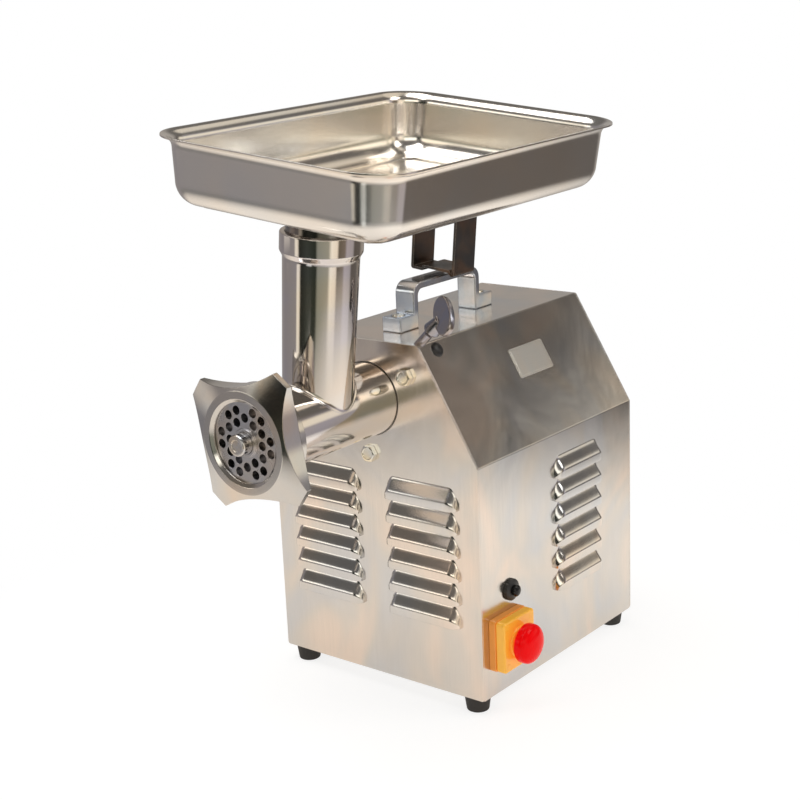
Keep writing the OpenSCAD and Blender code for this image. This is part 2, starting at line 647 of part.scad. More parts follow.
// Star outline: a square cut by four large circles between the arms.
module nut_star() {
  t = asin(nut_tip_w/2/nut_tip_r);
  d = (nut_tip_r*nut_tip_r - 44*44)/(2*(nut_tip_r*cos(45 - t) - 44));
  difference() {
    square(2*nut_tip_r*cos(t), center = true);
    for (a = [45 : 90 : 315]) rotate(a) translate([d, 0]) circle(r = d - 44, $fn = 128);
  }
}

// The auger turns with the drive and runs in the head's rear wall.
module auger_core() color([0.66, 0.65, 0.63]) here() translate([0, 0, axis_z]) difference() {
  union() {
    fbar(core_r, f_rear + 6.5, f_flight);
    fbar(journal_r, f_rear - 0.6, f_rear + 7);
    translate([-7.5, -f_rear, -7.5]) cube([15, f_rear + y_hub - 4, 15]);
    translate([-7, -f_knife, -7]) cube([14, f_knife - f_flight + 1, 14]);
  }
  fbar(5, f_flight - 16, f_knife + 1);
}
module auger_flight() color([0.66, 0.65, 0.63]) here() translate([0, -f_rear - 8, axis_z])
    rotate([90, 0, 0])
  linear_extrude(f_flight - f_rear - 9, twist = -360*3, slices = 60, segments = 12)
      polygon([[core_r - 0.3, -5], [bore_r - 1.2, -5],
    [bore_r - 0.7, 0], [bore_r - 1.2, 5], [core_r - 0.3, 5]]);
module auger_pin() color([0.68, 0.66, 0.63]) here() translate([0, 0, axis_z]) difference() {
  union() {
    fbar(4.9, f_flight - 15, f_knife + 1);
    fbar(pin_r, f_knife, f_nut - 0.6);
    fbar(7, f_nut - 1, f_nut + 3.2);
    fbar(pin_r, f_nut + 2.6, f_nut + 6.4);
    fbar(pin_r - 0.8, f_nut + 6, pin_front);
  }
  frev() polygon([[4.6, pin_front + 1], [4.6, pin_front - 0.8], [5.4, pin_front - 0.8],
      [5.4, pin_front + 1]]);
}
module knife() color([0.7, 0.69, 0.68]) here() translate([0, 0, axis_z]) difference() {
  union() {
    fbar(13, f_flight + 0.3, f_knife);
    for (a = [20, 110]) rotate([0, a, 0]) translate([-33, -f_knife, -6])
        cube([66, f_knife - f_flight - 0.3, 12]);
  }
  translate([-7, -f_knife - 1, -7]) cube([14, f_knife - f_flight + 2, 14]);
}

// One ring of the tray's sheet, d in from the rim edge and at height z.
function tray_ring(d, z) = let (r = tray_corner - d, x = tray_w/2 - tray_corner,
    y0 = -tray_front + tray_corner, y1 = tray_back - tray_corner)
  [for (q = [[x, y1, 0], [-x, y1, 90], [-x, y0, 180], [x, y0, 270]], a = [0 : 11.25 : 90])
      [q[0] + r*cos(q[2] + a), q[1] + r*sin(q[2] + a), z]];
module tray_pan() color([0.75, 0.73, 0.69]) lean() difference() {
  on_tray() tray_sheet();
  translate([0, -f_chute, tray_rim_z - tray_depth - 10]) cylinder(r = neck_in_r, h = 20);
}
module tray_sheet() {
  f = tray_flare;
  t = tray_t;
  w = f + 2;
  b = 20;
  zb = under_z + b;
  sec = concat(
    [for (a = [0 : 18 : 90]) [f*sin(a), -f - t + f*cos(a)]],
    [for (a = [0 : 10 : 90]) [w + b - b*cos(a), zb - b*sin(a)]],
    [for (a = [90 : -10 : 0]) [w + b - (b - t)*cos(a), zb - (b - t)*sin(a)]],
    [for (a = [90 : -18 : 0]) [(f + t)*sin(a), -f - t + (f + t)*cos(a)]]);
  n = 36;
  m = len(sec);
  h = m/2;
  polyhedron(points = [for (p = sec) each tray_ring(p[0], p[1])],
    faces = concat([for (i = [0 : m - 1], j = [0 : n - 1]) if (i != h - 1)
        [i*n + j, i*n + (j + 1)%n, ((i + 1)%m)*n + (j + 1)%n, ((i + 1)%m)*n + j]],
      [[for (j = [0 : n - 1]) (h - 1)*n + j]], [[for (j = [n - 1 : -1 : 0]) h*n + j]]));
}
// Everything above the tray's underside, used to trim what is welded to it.
module above_tray() on_tray() translate([-200, -200, under_z]) cube([400, 600, 60]);
module tray_neck() color([0.66, 0.64, 0.62]) lean() difference() {
  translate([0, -f_chute, collar_z - 19 + move_gap]) cylinder(r = neck_r, h = 60);
  translate([0, -f_chute, collar_z - 22]) cylinder(r = neck_in_r, h = 70);
  above_tray();
}
// A strip bent into two legs, with a raised step between them that clears the handle.
module tray_bracket() color([0.28, 0.25, 0.23]) lean() difference() {
  x0 = -29.1;
  x1 = x0 + 46.2;
  zb = 91;
  t = 2.5;
  yprism(-31, -1) polygon([[x0, zb], [x0 + 14.2, zb], [x0 + 14.2, zb + 2.8], [x0 + 39.5, zb + 2.8],
      [x0 + 42.6, zb], [x1, zb],
    [x1, 190], [x1 - t, 190], [x1 - t, zb + 2.6], [x0 + 40.8, zb + 2.8 + t],
        [x0 + 11.7, zb + 2.8 + t], [x0 + 11.7, zb + t],
    [x0 + t, zb + t], [x0 + t, 190], [x0, 190]]);
  above_tray();
}

base_plate();
casing_wrap();
front_panel();
rear_cover();
foot_front_left();
foot_front_right();
foot_rear_left();
foot_rear_right();
foot_screws();
rear_cover_screws();
badge_plate();
slope_plug();
carry_handle();
handle_screws();
gearbox_housing();
gearbox_cover();
hub_bolts();
output_bearings();
counter_bushes();
output_shaft();
output_gear();
counter_shaft();
counter_wheel();
counter_pinion();
motor_can();
motor_front_bell();
motor_rear_bell();
stator_core();
stator_windings();
motor_bearings();
motor_cradle();
motor_shaft();
rotor_core();
motor_pinion();
cooling_fan();
run_capacitor();
capacitor_clip();
cable_gland();
switch_base();
switch_cover();
contact_block();
stop_knob();
reset_nut();
breaker_body();
reset_plunger();
clamp_screw();
head_casting();
plate();
plate_key();
ring_nut();
auger_core();
auger_flight();
auger_pin();
knife();
tray_pan();
tray_neck();
tray_bracket();
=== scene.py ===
import math

import bmesh
import bpy
from mathutils import Matrix, Vector


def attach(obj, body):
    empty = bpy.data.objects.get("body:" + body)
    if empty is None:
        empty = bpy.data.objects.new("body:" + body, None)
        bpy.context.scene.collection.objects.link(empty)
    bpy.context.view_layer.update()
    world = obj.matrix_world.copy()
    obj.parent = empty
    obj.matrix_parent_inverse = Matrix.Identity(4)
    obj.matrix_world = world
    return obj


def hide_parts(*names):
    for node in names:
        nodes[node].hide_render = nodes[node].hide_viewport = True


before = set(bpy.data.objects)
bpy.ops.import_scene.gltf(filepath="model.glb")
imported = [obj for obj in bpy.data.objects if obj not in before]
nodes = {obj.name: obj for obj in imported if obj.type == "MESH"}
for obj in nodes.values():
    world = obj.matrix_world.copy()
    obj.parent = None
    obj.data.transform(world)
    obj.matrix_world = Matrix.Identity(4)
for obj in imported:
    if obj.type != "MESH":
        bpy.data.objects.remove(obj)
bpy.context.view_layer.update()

# ---------- Camera
# A bench-height camera with a 70 mm lens, a little above the machine and
# well round to its right. It is rolled by two and a half degrees.
def into_scene(label, data):
    """An object of the given data, linked to the scene."""
    thing = bpy.data.objects.new(label, data)
    bpy.context.scene.collection.objects.link(thing)
    return thing


camera_round, camera_up, camera_roll = (math.radians(a) for a in (38.935, 15.292, -2.474))
camera_place = (0.79802, -1.00920, 0.60376)
back = Vector((math.sin(camera_round)*math.cos(camera_up), -math.cos(camera_round)*math.cos(camera_up),
               math.sin(camera_up)))
level = Vector((math.cos(camera_round), math.sin(camera_round), 0))
upright = back.cross(level)
right = math.cos(camera_roll)*level + math.sin(camera_roll)*upright
upright = math.cos(camera_roll)*upright - math.sin(camera_roll)*level
lens = bpy.data.cameras.new("Bench camera")
lens.lens, lens.sensor_width = 70.32, 36
camera = into_scene("Bench camera", lens)
camera.matrix_world = Matrix.Translation(camera_place) @ Matrix((right, upright, back)).transposed().to_4x4()
bpy.context.scene.camera = camera
bpy.context.scene.view_settings.view_transform = "Standard"


# ---------- Studio
# A pale table under one large soft lamp and a smaller one by the switch side.
# Round the table stand pale and dark walls, which polished steel needs to
# look at. The camera sees only white behind the machine.
def put(tree, kind, inputs=None, **settings):
    """Adds a node. An input is a value, a socket, a node (its first output) or a list to join."""
    node = tree.nodes.new(kind)
    for key, value in settings.items():
        setattr(node, key, value)
    for key, value in (inputs or {}).items():
        for source in value if isinstance(value, list) else [value]:
            if isinstance(source, bpy.types.Node):
                source = source.outputs[0]
            if isinstance(source, bpy.types.NodeSocket):
                tree.links.new(source, node.inputs[key])
            else:
                node.inputs[key].default_value = source
    return node


def maths(tree, operation, *terms):
    """One sum on numbers or sockets."""
    return put(tree, "ShaderNodeMath", dict(enumerate(terms)), operation=operation)


def span(tree, value, start, end, first=0.0, last=1.0):
    """Maps a value from between two ends to nought and one."""
    return put(tree, "ShaderNodeMapRange", {"Value": value, "From Min": start, "From Max": end,
                                            "To Min": first, "To Max": last})


def blend(tree, factor, a, b):
    """A colour between two others."""
    return put(tree, "ShaderNodeMix", {"Factor": factor, "A": a, "B": b}, data_type="RGBA").outputs["Result"]


def ramp(tree, factor, stops, ease=False):
    """A colour ramp from a list of place and colour."""
    node = put(tree, "ShaderNodeValToRGB", {"Fac": factor})
    node.color_ramp.interpolation = "EASE" if ease else "LINEAR"
    while len(node.color_ramp.elements) < len(stops):
        node.color_ramp.elements.new(0.5)
    for element, (place, colour) in zip(node.color_ramp.elements, stops):
        element.position = place
        element.color = (*colour, 1)
    return node


def emptied(owner):
    """The node tree of a new material or world, with nothing in it."""
    owner.use_nodes = True
    owner.node_tree.nodes.clear()
    return owner.node_tree


def new_material(label):
    """A new material and its empty node tree."""
    material = bpy.data.materials.new(label)
    return material, emptied(material)


def object_place(tree):
    """A point of the surface in the object's own coordinates."""
    return put(tree, "ShaderNodeTexCoord").outputs["Object"]


world = bpy.data.worlds.new("Studio walls")
bpy.context.scene.world = world
room = emptied(world)
look = put(room, "ShaderNodeSeparateXYZ", {"Vector": put(room, "ShaderNodeTexCoord").outputs["Generated"]})
bearing = span(room, maths(room, "ARCTAN2", look.outputs["Y"], look.outputs["X"]), -math.pi, math.pi)

# Walls, at table height: bearing in degrees, and colour.
walls = [(-180, (.27, .25, .26)), (-128, (.30, .28, .28)), (-124, (1.0, .93, .80)), (-117, (.92, .84, .70)),
         (-113, (.025, .025, .02)), (-90, (.05, .055, .045)), (-66, (.03, .035, .025)),
         (-60, (.30, .30, .24)), (-30, (.38, .36, .28)), (-22, (1.08, .99, .82)), (-6, (1.0, .88, .73)),
         (-1, (.16, .13, .10)), (18, (.22, .18, .15)), (25, (.46, .42, .46)), (46, (.42, .39, .41)),
         (53, (.125, .11, .10)), (78, (.14, .125, .115)), (96, (.40, .37, .34)), (134, (.40, .375, .35)),
         (160, (.30, .28, .28)), (180, (.27, .25, .26))]
low = ramp(room, bearing, [((a + 180)/360, colour) for a, colour in walls])
ceiling = ramp(room, look.outputs["Z"], [(0, (0, 0, 0)), (.30, (0, 0, 0)), (.50, (1, 1, 1)), (1, (1, 1, 1))],
               True)
wall = blend(room, ceiling, low, (.15, .14, .13, 1))


def between(tree, value, start, end, soft):
    """One inside a span and nought outside, with soft ends."""
    return maths(tree, "MULTIPLY", span(tree, value, start - soft, start + soft),
                 span(tree, value, end + soft, end - soft))


# Soft boxes and dark screens: bearing from and to, height from and to (as the sine), and colour.
for left, right_end, floor_end, top_end, glow in (
        (-148, -120, .22, .37, (2.0, 1.9, 1.7)), (34, 66, .06, .30, (.95, .86, .72)),
        (-80, -28, .22, .46, (1.8, 1.7, 1.5)), (15, 105, .62, .95, (.75, .68, .58)),
        (-170, -144, -.13, .0, (.70, .65, .60)), (-125, -84, .0, .18, (.02, .02, .018)),
        (-175, -129, -.60, -.325, (.24, .23, .225)), (-128, -99, -.60, -.325, (.02, .02, .02)),
        (-96, -80, -.65, -.36, (.80, .80, .76)), (-76, 44, -.70, -.42, (.30, .29, .275))):
    inside = maths(room, "MULTIPLY", between(room, bearing, (left + 180)/360, (right_end + 180)/360, .006),
                   between(room, look.outputs["Z"], floor_end, top_end, .04))
    wall = blend(room, inside, wall, (*glow, 1))
WHITE = (1, 1, 1, 1)
seen = put(room, "ShaderNodeLightPath").outputs["Is Camera Ray"]
put(room, "ShaderNodeOutputWorld", {"Surface": put(room, "ShaderNodeBackground", {
    "Color": blend(room, seen, wall, WHITE), "Strength": 1.0})})

for label, place, size, power in (("Overhead lamp", (-0.3, -0.35, 2.0), 1.6, 26),
                                  ("Side lamp", (1.3, 0.5, 1.5), 0.8, 6)):
    lamp = bpy.data.lights.new(label, "AREA")
    lamp.shape, lamp.size, lamp.energy = "SQUARE", size, power
    lamp.color = (1, .985, .96)
    holder = into_scene(label, lamp)
    holder.location = place
    holder.rotation_euler = (Vector((0, 0, .2)) - Vector(place)).to_track_quat("-Z", "Y").to_euler()

# The camera sees the table pale near the machine and pure white further out.
# The steel sees it as a lit cloth, a little brighter towards the far side.
half_table, table_z = 4, -0.0004
table_mesh = bpy.data.meshes.new("Table")
cloth_corners = [(x*half_table, y*half_table, table_z) for x, y in ((-1, -1), (1, -1), (1, 1), (-1, 1))]
table_mesh.from_pydata(cloth_corners, [], [(0, 1, 2, 3)])
table = into_scene("Table", table_mesh)
paint, cloth = new_material("Pale table")


def painted(colour, own_light, strength=1.0):
    """A matt paint with some light of its own."""
    return put(cloth, "ShaderNodeAddShader", {
        0: put(cloth, "ShaderNodeBsdfDiffuse", {"Color": (*colour, 1)}),
        1: put(cloth, "ShaderNodeEmission", {"Color": own_light, "Strength": strength})})


away = put(cloth, "ShaderNodeVectorMath", {0: object_place(cloth)}, operation="LENGTH").outputs["Value"]
pure_white = put(cloth, "ShaderNodeEmission", {"Color": WHITE, "Strength": 1.0})
pale = put(cloth, "ShaderNodeMixShader", {0: span(cloth, away, 0.25, 0.50, 1.0, 0.0), 1: pure_white,
                                          2: painted((.30, .30, .30), WHITE, 0.80)})
side = put(cloth, "ShaderNodeVectorMath", {0: object_place(cloth), 1: (1, 1, 0)}, operation="DOT_PRODUCT")
cast_up = ramp(cloth, span(cloth, side.outputs["Value"], -0.2, 0.4),
               [(0, (.46, .425, .39)), (1, (.58, .565, .545))])
lit = put(cloth, "ShaderNodeMixShader", {
    0: span(cloth, away, 0.55, 1.0), 1: painted((.60, .56, .52), cast_up),
    2: put(cloth, "ShaderNodeBsdfTransparent")})
seen = put(cloth, "ShaderNodeLightPath").outputs["Is Camera Ray"]
whole = put(cloth, "ShaderNodeMixShader", {0: seen, 1: lit, 2: pale})
put(cloth, "ShaderNodeOutputMaterial", {"Surface": whole})
table_mesh.materials.append(paint)

# ---------- Casing sheet
# One bent sheet of stainless steel makes both sides, both slopes and the top.
# It is polished by machine, so it mirrors what stands on it, with fine
# upright grinding lines and a faint bloom of warm and cool tints. Pale
# bloom patches are mixed into its colour as a painted sheen, and its
# edges carry a painted highlight.
MM = 0.001
PLACE = Vector((-0.0135, 0.07325, 0))
half_w, half_d, plinth, wall_top, top, half_top, sheet_t = 110, 120, 14, 218, 313, 53.5, 1.5
axis_z = 262.4


def at(x, y, z):
    """A place on the machine, in millimetres."""
    return Matrix.Translation(PLACE + Vector((x, y, z))*MM)


def shift(x, y, z):
    """A move in millimetres."""
    return Matrix.Translation(Vector((x, y, z))*MM)


def shader_group(label, inputs, outputs):
    """A node group with named inputs and outputs, and its input sockets."""
    group = bpy.data.node_groups.new(label, "ShaderNodeTree")
    for key, kind, value in inputs:
        socket = group.interface.new_socket(key, in_out="INPUT", socket_type="NodeSocket" + kind)
        socket.default_value = value
    for key, kind in outputs:
        group.interface.new_socket(key, in_out="OUTPUT", socket_type="NodeSocket" + kind)
    return group, put(group, "NodeGroupInput").outputs


def scaled(tree, vector, factors, operation="MULTIPLY"):
    """A vector times, or plus, another."""
    return put(tree, "ShaderNodeVectorMath", {0: vector, 1: factors}, operation=operation)


def noise(tree, place, scale, detail=3.0, **others):
    """Soft noise, from nought to one."""
    return put(tree, "ShaderNodeTexNoise", {"Vector": place, "Scale": scale, "Detail": detail, **others})


def group_of(tree, group, **inputs):
    """The outputs of a shared node group."""
    return put(tree, "ShaderNodeGroup", inputs, node_tree=group).outputs


# Grinding lines: noise drawn out along the way the belt ran.
grinding, g = shader_group("Grinding lines", [("Lines", "Vector", (900, 900, 14)), ("Depth", "Float", 1.0)],
                           [("Streak", "Float"), ("Height", "Float")])
stretched = scaled(grinding, object_place(grinding), g["Lines"])
coarse = noise(grinding, stretched, 1.0, 5.0, Roughness=0.62)
fine = noise(grinding, stretched, 3.7, 2.0, Roughness=0.5)
streak = span(grinding, maths(grinding, "ADD", coarse, fine), 0.72, 1.28)
raised = maths(grinding, "MULTIPLY", streak, g["Depth"])
put(grinding, "NodeGroupOutput", {"Streak": streak, "Height": raised})

# Bloom: the broad soft patches of tint and polish on a wiped steel face.
# A material may also mix the patches into its colour as a pale painted sheen.
bloom, g = shader_group(
    "Polishing bloom", [("Size", "Float", 9.0), ("Stretch", "Vector", (1, 1, 1)), ("Contrast", "Float", 1.0)],
    [("Patch", "Float"), ("Tint", "Float")])
spread = scaled(bloom, object_place(bloom), g["Stretch"])
cloud = noise(bloom, spread, g["Size"], Roughness=0.5, Distortion=0.6)
hue = noise(bloom, scaled(bloom, spread, (3.1, 7.7, 1.9), "ADD"), g["Size"], 2.0, Distortion=0.9)
patch = maths(bloom, "MULTIPLY", span(bloom, cloud, 0.33, 0.67), g["Contrast"])
put(bloom, "NodeGroupOutput", {"Patch": patch, "Tint": span(bloom, hue, 0.36, 0.64)})

# Edge wear and highlight: rounds the light over a sharp edge, and its mask
# lightens the colour along the edge, partly as wear and partly as a painted highlight.
edge_wear_highlight_group, g = shader_group("Worn edge", [("Radius", "Float", 0.0006)], [("Mask", "Float"), ("Normal", "Vector")])
soft = put(edge_wear_highlight_group, "ShaderNodeBevel", {"Radius": g["Radius"]}, samples=4)
true = put(edge_wear_highlight_group, "ShaderNodeNewGeometry").outputs["Normal"]
meets = put(edge_wear_highlight_group, "ShaderNodeVectorMath", {0: soft, 1: true}, operation="DOT_PRODUCT")
put(edge_wear_highlight_group, "NodeGroupOutput", {"Mask": span(edge_wear_highlight_group, meets.outputs["Value"], 0.995, 0.85), "Normal": soft})


def bumped(tree, height, distance, strength=1.0, normal=None):
    """A normal raised by a height, over another normal or the surface's own."""
    inputs = {"Height": height, "Strength": strength, "Distance": distance}
    return put(tree, "ShaderNodeBump", dict(inputs, Normal=normal) if normal else inputs)


def surfaced(tree, colour, rough, normal, **others):
    """Ends a material: its shader takes the colour, gloss and normal."""
    put(tree, "ShaderNodeOutputMaterial", {"Surface": put(tree, "ShaderNodeBsdfPrincipled", {
        "Base Color": colour, "Roughness": rough, "Normal": normal, **others})})


def steel(label, colour, warm, cool, rough, lines, bump=0.12, cloudy=0.06, size=9.0, stretch=(1, 1, 1),
          edge=0.0006, streaky=0.08, shade=0.06, wavy=0.0, painted_sheen=0.0):
    """Polished or brushed metal. Bloom varies its tint, gloss and height, streaks its gloss and height. Edges
    are lightened partly by wear and partly as a painted highlight, and bloom patches can be mixed into the
    colour as a pale painted sheen.
    """
    material, tree = new_material(label)
    lined = group_of(tree, grinding, Lines=lines)
    patchy = group_of(tree, bloom, Size=size, Stretch=stretch)
    edge_wear_and_highlight = group_of(tree, edge_wear_highlight_group, Radius=edge)
    tone = ramp(tree, patchy["Tint"], [(0, warm), (0.5, colour), (1, cool)])
    for mask, amount, tint in ((lined["Streak"], shade, tuple(c*0.35 for c in colour)),
                               # lighter edges: partly wear, partly a painted highlight
                               (edge_wear_and_highlight["Mask"], 0.35, (0.93, 0.90, 0.86)),
                               # pale bloom patches in the colour: a painted sheen
                               (patchy["Patch"], painted_sheen, (0.97, 0.95, 0.92))):
        tone = blend(tree, maths(tree, "MULTIPLY", mask, amount), tone, (*tint, 1))
    gloss = maths(tree, "MULTIPLY_ADD", lined["Streak"], streaky, rough)
    gloss = maths(tree, "MULTIPLY_ADD", patchy["Patch"], cloudy, gloss)
    swell = bumped(tree, patchy["Patch"], wavy*MM, normal=edge_wear_and_highlight["Normal"])
    surfaced(tree, tone, gloss, bumped(tree, lined["Height"], 0.0002, bump, swell), Metallic=1.0)
    return material


def bake(thing):
    """The evaluated shape of an object as one plain mesh object, with the old one removed."""
    bpy.context.view_layer.update()
    mesh = bpy.data.meshes.new_from_object(thing.evaluated_get(bpy.context.evaluated_depsgraph_get()))
    mesh.transform(thing.matrix_world)
    label = thing.name
    bpy.data.objects.remove(thing)
    mesh.name = label
    return into_scene(label, mesh)


def shape(label, points, faces, turn, merge=0.001, outward=False):
    """A mesh from points in millimetres, with close points merged, set in place by a matrix."""
    mesh = bpy.data.meshes.new(label)
    mesh.from_pydata([Vector(p)*MM for p in points], [], faces)
    form = bmesh.new()
    form.from_mesh(mesh)
    if merge:
        bmesh.ops.remove_doubles(form, verts=form.verts, dist=merge*MM)
    if outward:
        bmesh.ops.recalc_face_normals(form, faces=form.faces)
    form.to_mesh(mesh)
    form.free()
    mesh.transform(turn)
    return into_scene(label, mesh)


def grid(rows, columns, around=False, closed=False):
    """Faces that join rows of points, also round to the first row or the first point."""
    return [(i*columns + j, (i + 1) % rows*columns + j, (i + 1) % rows*columns + (j + 1) % columns,
             i*columns + (j + 1) % columns)
            for i in range(rows if around else rows - 1) for j in range(columns if closed else columns - 1)]


def smoothed(thing, angle=32):
    """Smooth faces, with sharp edges where they turn by more than an angle."""
    for face in thing.data.polygons:
        face.use_smooth = True
    thing.data.set_sharp_from_angle(angle=math.radians(angle))
    return thing


def finished(thing, material, body, slot, *stands_for):
    """Keeps flat faces flat, dresses a piece, lets it ride on its body and stand for its solids."""
    thing.modifiers.new("Even normals", "WEIGHTED_NORMAL").keep_sharp = True
    thing = bake(thing)
    thing.data.materials.clear()
    thing.data.materials.append(material)
    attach(thing, body)
    if stands_for:
        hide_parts(*stands_for)
    return thing


def thicken(thing, thickness, offset=-1, bevel=0.0, segments=2, angle=40):
    """Gives a sheet its thickness, and its edges a small round."""
    if thickness:
        wall = thing.modifiers.new("Thickness", "SOLIDIFY")
        wall.thickness, wall.offset, wall.use_even_offset = thickness*MM, offset, True
    if bevel:
        edge = thing.modifiers.new("Edge", "BEVEL")
        edge.width, edge.segments, edge.limit_method = bevel*MM, segments, "ANGLE"
        edge.angle_limit, edge.harden_normals = math.radians(angle), False
    return bake(thing)


def ringed(radius, angle, x=0, y=0):
    """A point at an angle, in radians, round a centre."""
    return x + radius*math.cos(angle), y + radius*math.sin(angle)


def arc(centre, radius, start, end, steps):
    """Points of an arc in a plane, angles in degrees."""
    return [ringed(radius, math.radians(start + (end - start)*i/steps), *centre) for i in range(steps + 1)]


def rounded(corners, radius, steps=6, closed=True):
    """An outline with each corner turned into an arc."""
    out = []
    count = len(corners)
    for i, corner in enumerate(corners):
        if not closed and i in (0, count - 1):
            out.append(corner)
            continue
        here = Vector(corner)
        before, after = ((Vector(corners[k % count]) - here).normalized() for k in (i - 1, i + 1))
        half = before.angle(after)/2
        reach = radius/math.tan(half)
        middle = here + (before + after).normalized()*radius/math.sin(half)
        first = here + before*reach - middle
        turn = first.angle_signed(here + after*reach - middle)
        for k in range(steps + 1):
            a = -turn*k/steps
            out.append((middle.x + first.x*math.cos(a) - first.y*math.sin(a),
                        middle.y + first.x*math.sin(a) + first.y*math.cos(a)))
    return out


casing_steel = steel("Polished casing steel", (.70, .665, .62), (.82, .71, .62), (.63, .64, .655), .075,
                     (1000, 1000, 16), bump=.05, cloudy=.12, size=11, stretch=(1, 1, .75), streaky=.06,
                     shade=.08, wavy=.25, painted_sheen=.17)
louvre_rows = [plinth + 62 + 20.6*i for i in range(6)]
slot_low, slot_high, side_louvre_y, side_slot = 1, 12, 27.5, 33.5
switch_y, switch_z, hole_w, hole_h = -88, 61.4, 17.5, 18
casing_corners = [(half_w, plinth), (half_w, wall_top), (half_top, top), (-half_top, top),
                  (-half_w, wall_top), (-half_w, plinth)]
walk = rounded(casing_corners, 2.5, 5, closed=False)
cuts = sorted([z + h for z in louvre_rows for h in (slot_low, slot_high)]
              + [switch_z - hole_h, switch_z + hole_h])
line = ([walk[0]] + [(half_w, z) for z in cuts] + walk[1:-1] + [(-half_w, z) for z in reversed(cuts)]
        + [walk[-1]])
stations = sorted([-half_d + sheet_t, half_d - sheet_t, side_louvre_y - side_slot, side_louvre_y + side_slot,
                   switch_y - hole_w, switch_y + hole_w, 100, 0])


def is_solid(face):
    """Whether a face of the sheet stays, where no louvre's slot and no switch hole is cut."""
    (x0, y0, z0), (x1, y1, z1) = (points[face[0]], points[face[2]])
    y, z = (y0 + y1)/2, (z0 + z1)/2
    upright_wall = abs(x0 - x1) < 1e-6
    in_slot = any(r + slot_low < z < r + slot_high for r in louvre_rows)
    for_louvre = in_slot and abs(y - side_louvre_y) < side_slot
    for_switch = x0 > 0 and abs(y - switch_y) < hole_w and abs(z - switch_z) < hole_h
    return not (upright_wall and (for_louvre or for_switch))


points = [(x, y, z) for x, z in line for y in stations]
walls_made = [(a, d, c, b) for a, b, c, d in grid(len(line), len(stations))]
wrap = shape("casing_sheet", points, [face for face in walls_made if is_solid(face)], at(0, 0, 0))
wrap = smoothed(thicken(wrap, sheet_t, bevel=.5))
finished(wrap, casing_steel, "machine", "casing_steel", "casing_wrap")

# ---------- Front panel and rear cover
# Both are flat laser-cut sheets. The front one is welded in and polished with
# the casing, and the barrel passes through it. The rear one is screwed on and
# has rings of round air holes in front of the fan.
# x, y become x, z, and z runs forward.
FORWARD = Matrix(((1, 0, 0, 0), (0, 0, -1, 0), (0, 1, 0, 0), (0, 0, 0, 1)))


def geometry_tree(label, inputs):
    """A Geometry Nodes tree with named inputs, and its input sockets."""
    tree = bpy.data.node_groups.new(label, "GeometryNodeTree")
    tree.interface.new_socket("Geometry", in_out="INPUT", socket_type="NodeSocketGeometry")
    for key, kind, value in inputs + [("Finish", "Material", None)]:
        socket = tree.interface.new_socket(key, in_out="INPUT", socket_type="NodeSocket" + kind)
        if value is not None:
            socket.default_value = value
    tree.interface.new_socket("Geometry", in_out="OUTPUT", socket_type="NodeSocketGeometry")
    return tree, put(tree, "NodeGroupInput").outputs


def shape_of(tree, thing):
    """The geometry of an object that a tree is given."""
    return put(tree, "GeometryNodeObjectInfo", {"Object": thing}).outputs["Geometry"]


def end_tree(tree, geometry, finish):
    """Ends a Geometry Nodes tree: real geometry with its material."""
    real = put(tree, "GeometryNodeRealizeInstances", {"Geometry": geometry})
    put(tree, "NodeGroupOutput", {"Geometry": put(tree, "GeometryNodeSetMaterial", {
        "Geometry": real, "Material": finish})})


def dotted(label, spots):
    """A mesh of loose points, in metres, for a tree to build on."""
    dots = bpy.data.meshes.new(label)
    dots.from_pydata(spots, [], [])
    return into_scene(label, dots)


def grow(start, tree, **values):
    """Runs a tree on an object and bakes the outcome to a plain mesh."""
    run = start.modifiers.new("Build", "NODES")
    run.node_group = tree
    for item in tree.interface.items_tree:
        key = item.name.replace(" ", "_").lower()
        if item.in_out == "INPUT" and key in values:
            run[item.identifier] = values[key]
    return bake(start)


# Pierced sheet: fills an outline, less a round hole at each point of the base mesh.
pierced, g = geometry_tree("Pierced sheet", [("Outline", "Object", None), ("Thickness", "Float", .0015),
                                             ("Sides", "Int", 32)])
bore = put(pierced, "GeometryNodeCurvePrimitiveCircle", {"Resolution": g["Sides"], "Radius": 1.0})
bore_here = put(pierced, "GeometryNodeInputNamedAttribute", {"Name": "bore"}, data_type="FLOAT")
bores = put(pierced, "GeometryNodeInstanceOnPoints", {
    "Points": g["Geometry"], "Instance": bore, "Scale": bore_here})
bores = put(pierced, "GeometryNodeRealizeInstances", {"Geometry": bores})
flat = put(pierced, "GeometryNodeFillCurve", {"Curve": put(pierced, "GeometryNodeJoinGeometry", {
    0: [bores, shape_of(pierced, g["Outline"])]})}, mode="NGONS")
lifted = put(pierced, "GeometryNodeExtrudeMesh", {
    "Mesh": flat, "Offset Scale": g["Thickness"], "Individual": False})
under = put(pierced, "GeometryNodeFlipFaces", {"Mesh": flat})
closed = put(pierced, "GeometryNodeJoinGeometry", {0: [lifted, under]})
end_tree(pierced, put(pierced, "GeometryNodeMergeByDistance", {"Geometry": closed, "Distance": 1e-6}),
         g["Finish"])


